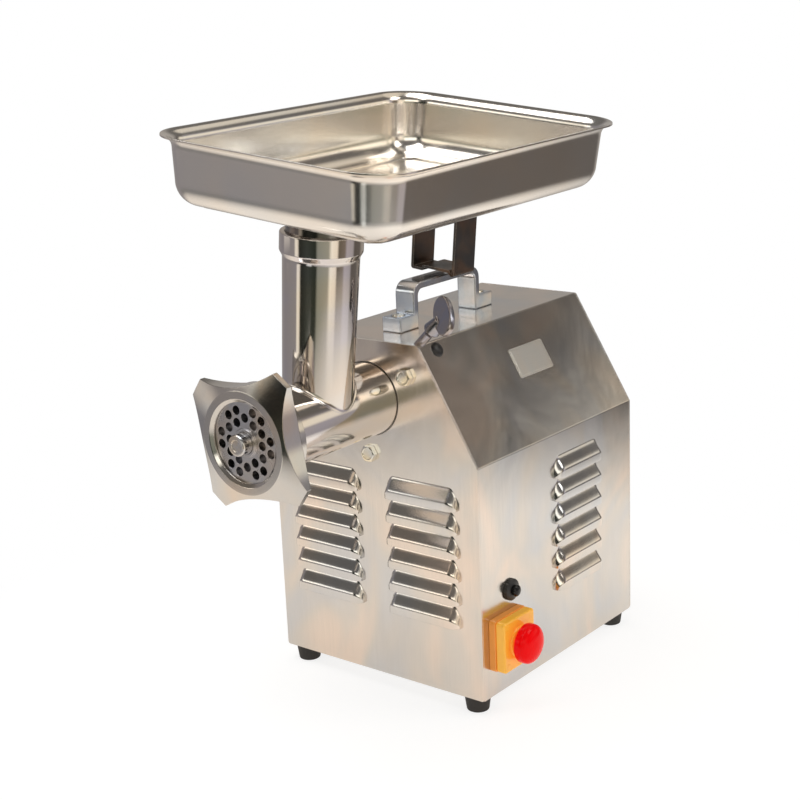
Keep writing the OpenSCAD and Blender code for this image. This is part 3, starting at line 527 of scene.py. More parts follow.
def pierced_sheet(label, loops, holes, thickness, material, bevel, turn, sides=32):
    """A flat sheet in millimetres with round holes (x, y, radius), turned into place by a matrix."""
    curve = bpy.data.curves.new(label, "CURVE")
    curve.dimensions = "2D"
    for loop in loops:
        line = curve.splines.new("POLY")
        line.points.add(len(loop) - 1)
        for point, (x, y) in zip(line.points, loop):
            point.co = (x*MM, y*MM, 0, 1)
        line.use_cyclic_u = True
    outline = into_scene(label + "_outline", curve)
    base = dotted(label, [(x*MM, y*MM, 0) for x, y, r in holes])
    base.data.attributes.new("bore", "FLOAT", "POINT").data.foreach_set("value", [r*MM for x, y, r in holes])
    made = grow(base, pierced, outline=outline, thickness=thickness*MM, sides=sides, finish=material)
    bpy.data.objects.remove(outline)
    if "bore" in made.data.attributes:
        made.data.attributes.remove(made.data.attributes["bore"])
    made = thicken(made, 0, bevel=bevel)
    made.data.transform(turn)
    return smoothed(made, 30)


def box_loop(x0, x1, z0, z1):
    """A square-cornered outline."""
    return [(x0, z0), (x1, z0), (x1, z1), (x0, z1)]


front_louvre_x, front_slot, opening_r, bolt_ring_r, bolt_clear = (-52, 52), 34.5, 31.9, 47.5, 4.2
casing_outline = rounded(casing_corners, 2.2, 4)
slots = [box_loop(x - front_slot, x + front_slot, z + slot_low, z + slot_high)
         for x in front_louvre_x for z in louvre_rows]
bolt_at = [ringed(bolt_ring_r, math.radians(a), 0, axis_z) for a in (30, 150, 270)]
panel = pierced_sheet("front_sheet", [casing_outline, arc((0, axis_z), opening_r, 0, 354, 59)] + slots,
                      [(x, z, bolt_clear) for x, z in bolt_at], sheet_t, casing_steel, .65,
                      at(0, -half_d + sheet_t, 0) @ FORWARD)
finished(panel, casing_steel, "machine", "casing_steel", "front_panel")

motor_z, air_step, air_r, screw_clear, lead_hole = 155.65, 15, 4.5, 2.1, (70, 42, 6.2)
air_holes = [(*ringed(air_step*ring, math.pi/2 - i*math.pi/3/ring, 0, motor_z), air_r)
             for ring in (1, 2, 3) for i in range(6*ring)] + [(0, motor_z, air_r)]
cover_screws = [(s*(half_w - 8), plinth + h) for s in (-1, 1) for h in (40, 120)]
cover = pierced_sheet("rear_sheet", [casing_outline],
                      air_holes + [(x, z, screw_clear) for x, z in cover_screws] + [lead_hole],
                      sheet_t, casing_steel, .3, at(0, half_d, 0) @ FORWARD, sides=24)
finished(cover, casing_steel, "machine", "casing_steel", "rear_cover")

# ---------- Louvres
# Each louvre is pressed out of the wall in one stroke: a rounded hood with
# closed, domed ends, a straight lip and the slot open below it. Two banks of
# six stand in the front panel and one bank in each side.
hood_nose, hood_t = 9, 1.3
hood_section = [(19.2, 0), (18.3, .15), (17.0, .65), (15.6, 1.5), (13.6, 2.9), (11.4, 4.5), (9.4, 5.85),
                (8.1, 6.55), (7.1, 6.9), (6.2, 7.0), (3.2, 7.0), (.5, 7.0), (0, 6.9)]


def hood(label, length, turn):
    """One hood as a curved sheet on the origin. Its section shrinks to a point at each end."""
    half = [length/2 - hood_nose*(1 - math.sin(math.radians(a))) for a in range(0, 91, 5)]
    places = [-u for u in reversed(half)] + half
    points = []
    for u in places:
        nearness = max(0, (abs(u) - (length/2 - hood_nose))/hood_nose)
        full = math.sqrt(max(0, 1 - nearness**2))
        points += [turn @ Vector((u, -w*full**.85, v*full)) for v, w in hood_section]
    faces = [(a, d, c, b) for a, b, c, d in grid(len(places), len(hood_section))]
    return thicken(shape(label, points, faces, at(0, 0, 0)), hood_t)


bank, g = geometry_tree("Bank of louvres", [
    ("Hood", "Object", None), ("Rows", "Int", 6), ("Pitch", "Float", .0206), ("Banks", "Int", 1),
    ("Spacing", "Vector", (0, 0, 0))])
upward = put(bank, "ShaderNodeCombineXYZ", {"Z": g["Pitch"]})
column = put(bank, "GeometryNodeMeshLine", {"Count": g["Rows"], "Offset": upward})
across = put(bank, "GeometryNodeMeshLine", {"Count": g["Banks"], "Offset": g["Spacing"]})
spots = put(bank, "GeometryNodeRealizeInstances", {"Geometry": put(bank, "GeometryNodeInstanceOnPoints", {
    "Points": across, "Instance": column})})
hoods = put(bank, "GeometryNodeInstanceOnPoints", {"Points": spots, "Instance": shape_of(bank, g["Hood"])})
end_tree(bank, hoods, g["Finish"])

sink = .02   # how far a hood's root stands inside the wall's face
for label, length, x, y, turn, banks in (
        ("front_louvres", 75, front_louvre_x[0], -half_d + sink, Matrix.Identity(3), 2),
        ("right_louvres", 73, half_w - sink, side_louvre_y, Matrix.Rotation(math.pi/2, 3, "Z"), 1),
        ("left_louvres", 73, -half_w + sink, side_louvre_y, Matrix.Rotation(-math.pi/2, 3, "Z"), 1)):
    one = hood(label + "_one", length, turn)
    one.data.transform(shift(x, y, louvre_rows[0]))
    made = grow(dotted(label, []), bank, hood=one, rows=len(louvre_rows), pitch=20.6*MM, banks=banks,
                spacing=(104*MM, 0, 0), finish=casing_steel)
    bpy.data.objects.remove(one)
    finished(smoothed(made, 50), casing_steel, "machine", "casing_steel")

# ---------- Badge and plug on the slope
# The badge is a thin plate of satin steel with a raised rim, left bare. The
# plug is a push-in button of black plastic that closes a hole in the slope.
slope_turn = math.atan2(top - wall_top, half_w - half_top)
ON_SLOPE = at(half_top, 0, top) @ Matrix.Rotation(slope_turn, 4, "Y")


def slab(label, loop, base, thickness, turn=Matrix.Identity(4), bevel=0.0, segments=2, smooth=30):
    """A flat piece in millimetres with rounded edges, cut to an outline and stood on a plane."""
    form = bmesh.new()
    face = form.faces.new([form.verts.new((x*MM, y*MM, base*MM)) for x, y in loop])
    raised = bmesh.ops.extrude_face_region(form, geom=[face])
    bmesh.ops.translate(form, verts=[v for v in raised["geom"] if isinstance(v, bmesh.types.BMVert)],
                        vec=(0, 0, thickness*MM))
    bmesh.ops.recalc_face_normals(form, faces=form.faces)
    mesh = bpy.data.meshes.new(label)
    form.to_mesh(mesh)
    form.free()
    thing = thicken(into_scene(label, mesh), 0, bevel=bevel, segments=segments)
    thing.data.transform(turn)
    return smoothed(thing, smooth)


def box_outline(width, height, radius, x=0, y=0):
    """A rectangle with round corners, about a point."""
    corners = box_loop(-width/2, width/2, -height/2, height/2)
    return [(x + a, y + b) for a, b in rounded(corners, radius)]


def joined(label, *parts):
    """Several meshes as one object."""
    form = bmesh.new()
    for part in parts:
        form.from_mesh(part.data)
        bpy.data.objects.remove(part)
    mesh = bpy.data.meshes.new(label)
    form.to_mesh(mesh)
    form.free()
    return into_scene(label, mesh)


def skin(label, rings, turn=Matrix.Identity(4), closed=False):
    """A surface through rings of points in millimetres, joined all round, each ring closed or not."""
    faces = grid(len(rings), len(rings[0]), True, closed)
    return shape(label, [p for ring in rings for p in ring], faces, turn, 0 if closed else .002, True)


def lathe(label, profile, turn=Matrix.Identity(4), steps=48, smooth=35):
    """A turned piece: radius and height in millimetres, spun about Z, then placed."""
    rings = [[(*ringed(r, 2*math.pi*i/steps), z) for r, z in profile] for i in range(steps)]
    return smoothed(skin(label, rings, turn), smooth)


badge_steel = steel("Satin badge steel", (.80, .785, .75), (.86, .79, .68), (.74, .77, .76), .33,
                    (900, 60, 900), bump=.02, cloudy=.02, size=12)
badge_x, badge_y, badge_w, badge_h, badge_rim = 42, 12, 27, 50, 1.8
badge = joined(
    "bare_badge", slab("badge_a", box_outline(badge_w, badge_h, 2, badge_x, badge_y), 0, .55, ON_SLOPE, .15),
    slab("badge_b", box_outline(badge_w - 2*badge_rim, badge_h - 2*badge_rim, 1.4, badge_x, badge_y), .5, .3,
         ON_SLOPE, .12))
finished(smoothed(badge), badge_steel, "machine", "badge_metal", "badge_plate")


def moulded(label, colour, rough, grain=900, depth=.12, coat=0.0, vary=.12, shine=.5, glow=0.0):
    """Moulded plastic or rubber with a faint grain and uneven gloss. Its edges are lightened partly by wear
    and partly as a painted highlight, and emission gives it a painted glow where one is asked for.
    """
    material, tree = new_material(label)
    speck, broad = (noise(tree, object_place(tree), scale) for scale in (grain, 28))
    edge_wear_and_highlight = group_of(tree, edge_wear_highlight_group, Radius=.0004)
    deep = tuple(c*(1 - vary) for c in colour)
    light = tuple(min(1, c*(1 + vary) + .004) for c in colour)
    # edges lighter: partly wear, partly a painted highlight
    skin_tone = blend(tree, maths(tree, "MULTIPLY", edge_wear_and_highlight["Mask"], .22),
                      ramp(tree, broad, [(.3, deep), (.7, light)]),
                      (*(min(1, c*1.3 + .05) for c in colour), 1))
    surfaced(tree, skin_tone, maths(tree, "MULTIPLY_ADD", broad, .12, rough - .06),
             bumped(tree, speck, .0001, depth, edge_wear_and_highlight["Normal"]),
             **{"Coat Weight": coat, "Coat Roughness": .06, "Specular IOR Level": shine,
                "Emission Color": (*colour, 1), "Emission Strength": glow})
    return material


black_plastic = moulded("Black moulded plastic", (.018, .018, .020), .38)
plug_x, plug_y = 8, -98.5
plug = lathe("slope_button", [(0, 3.0), (2.2, 2.95), (4.2, 2.5), (5.6, 1.5), (6.4, .35), (6.5, 0), (4.5, 0),
                              (4.5, -4), (0, -4)], ON_SLOPE @ shift(plug_x, plug_y, 0))
finished(plug, black_plastic, "machine", "black_plastic", "slope_plug")

# ---------- Base, feet and their screws
# The base plate is folded steel inside the casing. Each foot is a cone of
# moulded rubber, held from below by a pan-head screw with its nut inside.
base_steel = steel("Plain base steel", (.60, .59, .57), (.62, .59, .55), (.58, .59, .60), .30,
                   (700, 18, 700), bump=.12)

# Fasteners: one object on each point of the base mesh, each turned by chance.
fasteners, g = geometry_tree("Fasteners on points", [
    ("Fastener", "Object", None), ("Aim", "Vector", (0, 0, 0)), ("Turn Seed", "Int", 3),
    ("Most Turn", "Float", 1.0)])
spread_out = put(fasteners, "GeometryNodeInstanceOnPoints", {
    "Points": g["Geometry"], "Rotation": g["Aim"], "Instance": shape_of(fasteners, g["Fastener"])})
any_turn = put(fasteners, "FunctionNodeRandomValue", {"Seed": g["Turn Seed"], 3: g["Most Turn"]},
               data_type="FLOAT")
spin = put(fasteners, "ShaderNodeCombineXYZ", {"Z": any_turn.outputs[1]})
end_tree(fasteners, put(fasteners, "GeometryNodeRotateInstances", {
    "Instances": spread_out, "Rotation": spin, "Local Space": True}), g["Finish"])


def placed(label, fastener, spots, aim, material, slot, *stands_for, seed=3, most=1.0):
    """Copies one fastener to each spot, in millimetres, each turned a little, and finishes the set."""
    made = grow(dotted(label, [Vector(p)*MM + PLACE for p in spots]), fasteners, fastener=fastener, aim=aim,
                turn_seed=seed, most_turn=most, finish=material)
    bpy.data.objects.remove(fastener)
    finished(smoothed(made, 35), material, "machine", slot, *stands_for)


# The way a fastener's head points.
UPWARD, TO_FRONT, TO_REAR = (0, 0, 0), (math.pi/2, 0, 0), (-math.pi/2, 0, 0)
feet_at = [(x, y, 0) for x in (-95, 95) for y in (-108, 108)]
rubber = moulded("Black foot rubber", (.022, .021, .021), .62, grain=500, depth=.35)
foot = lathe("foot_one", [(5.2, .0), (8.6, 0), (9.4, .5), (9.7, 1.2), (11.3, 12.6), (11.5, 13.6), (11.3, 14),
                          (2.6, 14), (2.6, 6), (5, 6), (5, .3), (5.2, 0)])
placed("rubber_feet", foot, feet_at, UPWARD, rubber, "black_rubber", "foot_front_left", "foot_front_right",
       "foot_rear_left", "foot_rear_right")

bright_zinc = steel("Bright plated steel", (.80, .76, .66), (.86, .78, .60), (.76, .77, .74), .14,
                    (600, 600, 600), bump=.05, size=60, edge=.0004)
foot_screw = lathe("foot_screw_one", [(0, 3.2), (1.2, 3.2), (1.6, 2.6), (3.6, 2.6), (4.5, 3.4), (4.6, 5.8),
                                      (4.4, 6), (2.5, 6), (2.5, 20), (2.2, 20.6), (0, 20.6)], steps=24)
placed("foot_screw_set", foot_screw, feet_at, UPWARD, bright_zinc, "fastener_steel", "foot_screws")

# ---------- Hub bolts and rear cover screws
# Three plated hexagon bolts, each with a dished head and a chamfer, hold the
# gearbox hub to the front panel. Slotted pan-head screws hold the rear cover.
def hex_bolt(label, across, height, dish, steps=72):
    """A hexagon head with its round chamfer, standing on the origin along Z."""
    flat, rings = across/2, []
    crown = flat*.94
    for i in range(steps):
        a = 2*math.pi*i/steps
        rim = flat/math.cos((a + math.pi/6) % (math.pi/3) - math.pi/6)
        rings.append([(*ringed(r, a), z) for r, z in (
            (rim - .25, 0), (rim, .3), (rim, height - (rim - crown)*.55), (crown, height),
            (dish + .5, height), (dish, height - .5), (0, height - .55))])
    return smoothed(skin(label, rings), 28)


placed("hub_bolt_set", hex_bolt("hub_bolt_one", 13, 5.3, 4.6), [(x, -half_d, z) for x, z in bolt_at],
       TO_FRONT, bright_zinc, "fastener_steel", "hub_bolts", seed=5)

# A slotted head is a low dome with a bar on each side of its slot.
slotted = joined(
    "slotted_one",
    lathe("slotted_a", [(0, 2.3), (.9, 2.3), (4, 0.2), (4, 0), (2, 0), (2, -7), (0, -7)], steps=24),
    *[slab("slot_side", box_loop(x0, x0 + 2.6, -2.2, 2.2), 1.2, 1.1, bevel=.3) for x0 in (-3.2, .6)])
placed("rear_screw_set", slotted, [(x, half_d, z) for x, z in cover_screws], TO_REAR, bright_zinc,
       "fastener_steel", "rear_cover_screws", seed=9, most=3.1)

# ---------- Gearbox, gears and bearings
# A cast aluminium box holds two pairs of straight-cut steel gears that slow
# the motor eight times over. Ball bearings carry the output shaft and sintered
# bronze bushes carry the countershaft.
def rough_casting(label, colour):
    """Sand-cast metal: grainy skin, uneven tone, edges lightened partly by wear and partly as a painted
    highlight.
    """
    material, tree = new_material(label)
    sand = noise(tree, object_place(tree), 850, 4.0, Roughness=.7)
    edge_wear_and_highlight = group_of(tree, edge_wear_highlight_group, Radius=.0009)
    patchy = group_of(tree, bloom, Size=22.0)
    tone = ramp(tree, patchy["Tint"], [(0, tuple(c*.82 for c in colour)), (1, colour)])
    # lighter edges: partly wear, partly a painted highlight
    tone = blend(tree, maths(tree, "MULTIPLY", edge_wear_and_highlight["Mask"], .6), tone, (.85, .86, .86, 1))
    surfaced(tree, tone, maths(tree, "MULTIPLY_ADD", sand, .25, .42),
             bumped(tree, sand, .0003, .45, edge_wear_and_highlight["Normal"]), Metallic=1.0)
    return material


def dress(material, *labels):
    """Gives a material to nodes of the solid model that keep their own shape."""
    for label in labels:
        nodes[label].data.materials.clear()
        nodes[label].data.materials.append(material)


dress(base_steel, "base_plate", "motor_cradle", "capacitor_clip")
dress(rough_casting("Cast gearbox aluminium", (.56, .57, .58)), "gearbox_housing", "gearbox_cover")
machined = steel("Machined steel", (.60, .59, .58), (.64, .59, .54), (.57, .59, .62), .20, (60, 1100, 60),
                 bump=.15, size=25, edge=.0004)
dress(machined, "output_shaft", "output_gear", "counter_shaft", "counter_wheel", "counter_pinion",
      "motor_pinion", "motor_shaft", "output_bearings", "motor_bearings")
dress(steel("Sintered bronze", (.62, .42, .20), (.66, .45, .20), (.55, .38, .20), .38, (700, 700, 700),
            bump=.25, size=40), "counter_bushes")

# ---------- Motor
# A single-phase motor: a painted steel can between two cast bells, laminated
# stator and rotor cores, lacquered copper windings and a black fan. Its run
# capacitor lies beside it in a spring clip.
def layered(label, colour, gap, pitch, rough):
    """Stacked laminations or wound wire: fine ribs along the motor."""
    material, tree = new_material(label)
    ribs = put(tree, "ShaderNodeTexWave", {
        "Vector": object_place(tree), "Scale": .05/(pitch*MM), "Distortion": .6, "Detail": 2.0,
        "Detail Scale": 2.0}, wave_type="BANDS", bands_direction="Y").outputs["Fac"]
    surfaced(tree, ramp(tree, ribs, [(.1, gap), (.45, colour)]),
             maths(tree, "MULTIPLY_ADD", ribs, -.15, rough + .15), bumped(tree, ribs, .0003, .5),
             Metallic=1.0)
    return material


dress(moulded("Motor enamel", (.07, .09, .11), .40, grain=700, depth=.25), "motor_can")
dress(rough_casting("Cast motor bells", (.52, .53, .55)), "motor_front_bell", "motor_rear_bell")
dress(layered("Core laminations", (.30, .30, .32), (.10, .10, .11), 1.0, .38), "stator_core", "rotor_core")
dress(layered("Lacquered copper wire", (.66, .26, .10), (.24, .08, .03), 1.2, .30), "stator_windings")
dress(black_plastic, "cooling_fan", "contact_block", "breaker_body", "cable_gland")
dress(steel("Capacitor can", (.66, .67, .68), (.70, .68, .65), (.62, .66, .70), .26, (60, 500, 60), bump=.05,
            size=30), "run_capacitor")

# ---------- Carrying handle
# A cast and polished aluminium arch with a foot at each end. It mirrors the
# casing top and has softly rounded edges. A slotted steel screw is sunk in
# each foot.
# x, y become y, z, and z runs to the right.
OUTWARD = Matrix(((0, 0, 1, 0), (1, 0, 0, 0), (0, 1, 0, 0), (0, 0, 0, 1)))


def carved(thing, tool):
    """A piece less the shape of a tool, which is then removed."""
    cut = thing.modifiers.new("Cut", "BOOLEAN")
    cut.operation, cut.object, cut.solver = "DIFFERENCE", tool, "EXACT"
    thing = bake(thing)
    bpy.data.objects.remove(tool)
    return thing


handle_x, handle_w, arch0, arch1, foot_h, foot_l = 4, 20, -71, 23.6, 12.6, 19
bar_top, bar_t, sunk = 39, 6.2, 2
under_bar = bar_top - 6
handle_line = (
    rounded([(arch0, foot_h), (arch0, bar_top), (arch1, bar_top), (arch1, foot_h)], 10.5, 8, closed=False)
    + rounded([(arch1, foot_h), (arch1 + foot_l, foot_h), (arch1 + foot_l, 0)], 1.2, 3, closed=False)[1:]
    + rounded([(arch1 - bar_t, 0), (arch1 - bar_t, under_bar), (arch0 + bar_t, under_bar),
               (arch0 + bar_t, 0)], 6, 6, closed=False)
    + rounded([(arch0 - foot_l, 0), (arch0 - foot_l, foot_h), (arch0, foot_h)], 1.2, 3, closed=False)[:-1])
handle_screw_y = (arch0 - foot_l/2, arch1 + foot_l/2)
handle = slab("carry_arch", handle_line, -handle_w/2, handle_w, at(handle_x, 0, top) @ OUTWARD)
drill = joined("handle_drill", *[
    lathe("drill", [(0, -3), (3.1, -3), (3.1, foot_h - sunk), (6, foot_h - sunk), (6, 14), (0, 14)],
          at(handle_x, y, top), 40) for y in handle_screw_y])
handle = smoothed(thicken(carved(handle, drill), 0, bevel=1.0, segments=4, angle=50), 40)
polished_alloy = steel("Polished handle alloy", (.62, .665, .73), (.70, .69, .70), (.56, .63, .74), .13,
                       (500, 60, 60), bump=.05, cloudy=.05, size=25, edge=.0012, streaky=.05)
finished(handle, polished_alloy, "machine", "aluminium", "carry_handle")

screw_head = lathe("handle_screw_one", [(0, 2.9), (4.6, 2.9), (5.3, 2.3), (5.5, 1.6), (5.5, 0), (3, 0),
                                        (3, -9), (0, -9)], steps=40)
handle_screw = carved(screw_head, slab("groove", box_loop(-6, 6, -.7, .7), 1.9, 2))
placed("handle_screw_set", handle_screw, [(handle_x, y, top + foot_h - sunk) for y in handle_screw_y], UPWARD,
       bright_zinc, "fastener_steel", "handle_screws", seed=4, most=3.1)

# ---------- Switch box and stop knob
# The box is moulded in two shades: a deep orange base screwed to the side
# wall and an amber cover with a raised collar. The red mushroom knob is
# glossy and stands clear of the collar by its travel.
ON_SWITCH = at(half_w, switch_y, switch_z) @ OUTWARD
switch_w, switch_h, lid_screw_x, lid_screw_z = 45, 45.5, 17, 17.2
base_out, cover_out, stem_out = 6.5, 15.6, 17.1
# Both shades glow a little through emission: painted light, as no lamp is inside the box.
deep_orange = moulded("Deep orange plastic", (.88, .33, .05), .24, depth=.05, coat=.2, glow=.14)
amber = moulded("Amber plastic", (1.0, .50, .05), .16, depth=.04, coat=.3, vary=.06, glow=.16)
base = slab("switch_foot", box_outline(switch_w, switch_h, 3), 0, base_out - .1, ON_SWITCH, .7, 3)
finished(base, deep_orange, "machine", "orange_plastic", "switch_base")
lid = joined(
    "switch_lid",
    slab("lid_a", box_outline(switch_w - .7, switch_h - .7, 3), base_out, cover_out - base_out, ON_SWITCH,
         1.6, 4),
    lathe("lid_b", [(9.4, cover_out - 1), (9.4, stem_out - .4), (9.8, stem_out), (12.9, stem_out),
                    (13.4, stem_out - .5), (13.5, cover_out), (13.5, cover_out - 1), (9.4, cover_out - 1)],
          ON_SWITCH, 64),
    *[lathe("lid_screw", [(0, cover_out + .1), (.6, cover_out + .1), (2.3, cover_out + .25),
                          (2.7, cover_out + .05), (2.7, cover_out - .3)],
            ON_SWITCH @ shift(x*lid_screw_x, z*lid_screw_z, 0), 20)
      for x, z in ((-1, 1), (1, 1), (-1, -1), (1, -1))])
finished(smoothed(lid), amber, "machine", "yellow_plastic", "switch_cover")
# The red knob glows a little too: painted light that deepens its colour.
glossy_red = moulded("Glossy red plastic", (.90, .001, .003), .12, grain=300, depth=.02, coat=.04, vary=.03,
                     shine=.09, glow=.13)
knob_back, knob_r, knob_rim, knob_out, stem_in = 20.2, 17, 25.7, 34, -7.5
dome = [(knob_r*math.sin(math.radians(a)), knob_rim + (knob_out - knob_rim)*math.cos(math.radians(a)))
        for a in range(0, 88, 6)]
knob = lathe("stop_mushroom", dome + [
    (knob_r, knob_rim - .6), (knob_r, knob_back + 1.6), (knob_r - .4, knob_back + .5),
    (knob_r - 1.3, knob_back + .05), (11.5, knob_back), (9.4, knob_back), (9, knob_back - .5), (9, stem_in),
    (0, stem_in)], ON_SWITCH, 72)
finished(knob, glossy_red, "stop_button", "red_plastic", "stop_knob")

# ---------- Reset button
# A black push button springs out through a knurled plastic nut that clamps
# the breaker to the side wall.
reset_y, reset_z, knurl_r, knurl_deep = -77.8, 101, 9.5, .45
ON_RESET = at(half_w, reset_y, reset_z) @ OUTWARD
knurl = [ringed(knurl_r - knurl_deep*(i % 2), math.pi*i/24) for i in range(48)]
collar = joined("reset_collar", slab("collar_a", knurl, 0, 2.7, ON_RESET, .25),
                lathe("collar_b", [(4.4, 2.5), (8.7, 2.5), (8.5, 3.0), (6.6, 3.9), (4.6, 4), (4.4, 3.8),
                                   (4.4, 2.5)], ON_RESET))
finished(smoothed(collar, 25), black_plastic, "machine", "black_plastic", "reset_nut")
shiny_black = moulded("Shiny black plastic", (.006, .006, .007), .20, depth=.03, coat=.1, shine=.25)
button = lathe("reset_cap", [(0, 9), (2.2, 8.9), (3.8, 8.3), (4.8, 7.4), (5, 6.6), (4.8, 6.1), (4.1, 5.9),
                             (4.0, -6), (0, -6)], ON_RESET)
finished(button, shiny_black, "reset_button", "black_plastic", "reset_plunger")

# ---------- Grinder head
# Barrel, feed chute and collar are one steel casting, turned and polished to
# a mirror. The chute runs into the barrel with a small fillet. The whole head
# leans a little towards the switch side.
lean = math.radians(5.9)
LEAN = at(0, 0, axis_z) @ Matrix.Rotation(lean, 4, "Y")
f_chute, f_nut, f_plate, f_back, f_head, f_seat, f_rear = 184.4, 271.5, 267.5, 259.5, 266, 250, 96.5
barrel_r, bore_r, flange_r, seat_r, shaft_hole, throat_r = 31, 26, 39.8, 35.2, 13.05, 24
ON_CHUTE = LEAN @ shift(0, -f_chute, 0)
mirror_steel = steel("Mirror polished casting", (.76, .715, .665), (.80, .71, .62), (.74, .71, .72), .035,
                     (700, 700, 60), bump=.02, cloudy=.05, size=14, stretch=(1, .6, 1), edge=.0009,
                     streaky=.03, shade=.02)
tube = lathe("barrel_tube", [
    (shaft_hole, f_rear), (barrel_r - .7, f_rear), (barrel_r, f_rear + .7), (barrel_r, f_head - 18.5),
    (barrel_r + .6, f_head - 17.7), (flange_r - .6, f_head - 17.5), (flange_r, f_head - 16.9),
    (flange_r, f_head - .6), (flange_r - .6, f_head), (seat_r, f_head), (seat_r, f_seat), (bore_r, f_seat),
    (bore_r, f_rear + 6), (shaft_hole, f_rear + 6), (shaft_hole, f_rear)], LEAN @ FORWARD, 128, 25)
tube = carved(tube, lathe("mouth_cut", [(0, 5), (throat_r, 5), (throat_r, 40), (0, 40)], ON_CHUTE, 96))

collar_top, foot_r, neck_top_r, fillet, columns = 152.5, 28.6, 30.5, 3.2, 128


def chute_r(z):
    """Radius of the tapered chute at a height over the barrel's axis."""
    return foot_r + (neck_top_r - foot_r)*(z - 18)/115.5


rings = []
for i in range(columns):
    a = 2*math.pi*i/columns
    c, s = math.cos(a), math.sin(a)
    meet = math.sqrt(barrel_r**2 - (chute_r(26)*c)**2)
    spread_r = chute_r(meet) + fillet*abs(s)**1.5 + .4
    foot_z = math.sqrt(barrel_r**2 - (spread_r*c)**2) - .03
    start, corner = Vector((chute_r(meet + fillet), meet + fillet)), Vector((chute_r(meet), meet))
    end = Vector((spread_r, foot_z))
    rows = [(r, collar_top - drop) for r, drop in (
        (27.2, 19), (28.7, 19), (28.7, .4), (29.1, 0), (31.9, 0), (32.7, .4), (33, 1.2), (33, 14.4),
        (32.7, 15.4), (30.9, 18.6), (30.55, 19.6))]
    rows += [(chute_r(z), z) for z in (collar_top - 22, 100, 70, 50)]
    rows += [tuple(start*(1 - t)**2 + corner*2*t*(1 - t) + end*t**2) for t in [k/8 for k in range(9)]]
    rows += [(throat_r, math.sqrt(bore_r**2 - (throat_r*c)**2) - .5), (throat_r, 40),
             (throat_r, collar_top - 20.5), (throat_r + .5, collar_top - 19)]
    rings.append([(r*c, r*s, z) for r, z in rows])
chute = skin("chute", rings, ON_CHUTE, closed=True)
head = smoothed(joined("head_body", tube, chute), 30)
finished(head, mirror_steel, "head", "polished_steel", "head_casting")
dress(machined, "plate_key", "auger_core", "auger_flight", "knife")

# ---------- Plate
# A hardened steel disc with round holes set on a triangular grid. A notch in
# its rim holds it on a key in the head. The auger's pin turns in its middle.
satin_plate = steel("Ground plate steel", (.50, .485, .49), (.55, .49, .45), (.47, .48, .53), .22,
                    (500, 500, 500), bump=.10, cloudy=.10, size=30, edge=.0005, shade=.1)
pitch, swing, hole_r, plate_r, pin_hole = 9.85, math.radians(35), 3.65, 35, 8.85
holes = []
for i in range(-3, 4):
    for j in range(-3, 4):
        x, z = (i + j/2)*pitch, j*math.sqrt(3)/2*pitch
        if 1.6*pitch < math.hypot(x, z) < 2.8*pitch:
            holes.append((x*math.cos(swing) - z*math.sin(swing), x*math.sin(swing) + z*math.cos(swing),
                          hole_r))
notch = [(-2.2, -34.2), (-1.6, -33.5), (0, -33.0), (1.6, -33.5), (2.2, -34.2)]
disc = pierced_sheet("pierced_disc", [arc((0, 0), plate_r, -86.4, 266.4, 120) + notch],
                     holes + [(0, 0, pin_hole)], f_plate - f_back, satin_plate, .35,
                     LEAN @ shift(0, -f_back, 0) @ FORWARD)
boss = lathe("plate_boss", [(pin_hole, f_plate - 1), (pin_hole, f_plate + 1.2), (9.2, f_plate + 1.6),
                            (11, f_plate + 1.6), (11.5, f_plate + 1.1), (11.6, f_plate - 1),
                            (pin_hole, f_plate - 1)], LEAN @ FORWARD, 64)
disc = smoothed(joined("pierced_plate", disc, boss), 30)
finished(disc, satin_plate, "head", "machined_steel", "plate")

pin = lathe("auger_centre_pin", [(r, f_nut + out) for r, out in (
    (0, 6.2), (4.6, 6.2), (4.9, 6.9), (7.2, 7), (8.0, 6.7), (8.6, 5.9), (8.75, 5.2), (8.75, 3.1), (8.6, 2.9),
    (8.6, 1.2), (8.75, 1.0), (8.75, -12.3), (4.9, -12.3), (4.9, -35.5), (0, -35.5))],
    at(0, 0, axis_z) @ FORWARD, 64, 28)
pin_steel = steel("Turned pin steel", (.66, .63, .60), (.72, .64, .54), (.60, .62, .66), .12,
                  (500, 900, 500), bump=.06, size=60)
finished(pin, pin_steel, "drive", "machined_steel", "auger_pin")

# ---------- Ring nut
# A cast stainless ring with four broad arms. Its disc is turned flat, and the
# arms slope back from a turned edge to thin, square tips. A plain skirt behind
# carries the thread.
nut_steel = steel("Satin nut casting", (.66, .625, .58), (.72, .63, .54), (.61, .615, .61), .08,
                  (120, 120, 120), bump=.02, cloudy=.06, size=16, streaky=.04, shade=.03)
tip_r, tip_w, waist, nut_turn = 64.8, 16.5, 44, math.radians(61)
turned_r, root_r, face_fall, back_fall = 41.5, 45.9, (8 - .3)/(68 - 41.5), 8/(68 - 45.9)
tip_a = math.asin(tip_w/2/tip_r)
reach = (tip_r**2 - waist**2)/(2*(tip_r*math.cos(math.pi/4 - tip_a) - waist))


def arm_r(a):
    """Radius of the star outline at an angle from the nearest arm."""
    a = abs((a + math.pi/4) % (math.pi/2) - math.pi/4)
    if a <= tip_a:
        return tip_r*math.cos(tip_a)/math.cos(a)
    b = math.pi/4 - a
    return reach*math.cos(b) - math.sqrt((reach - waist)**2 - (reach*math.sin(b))**2)


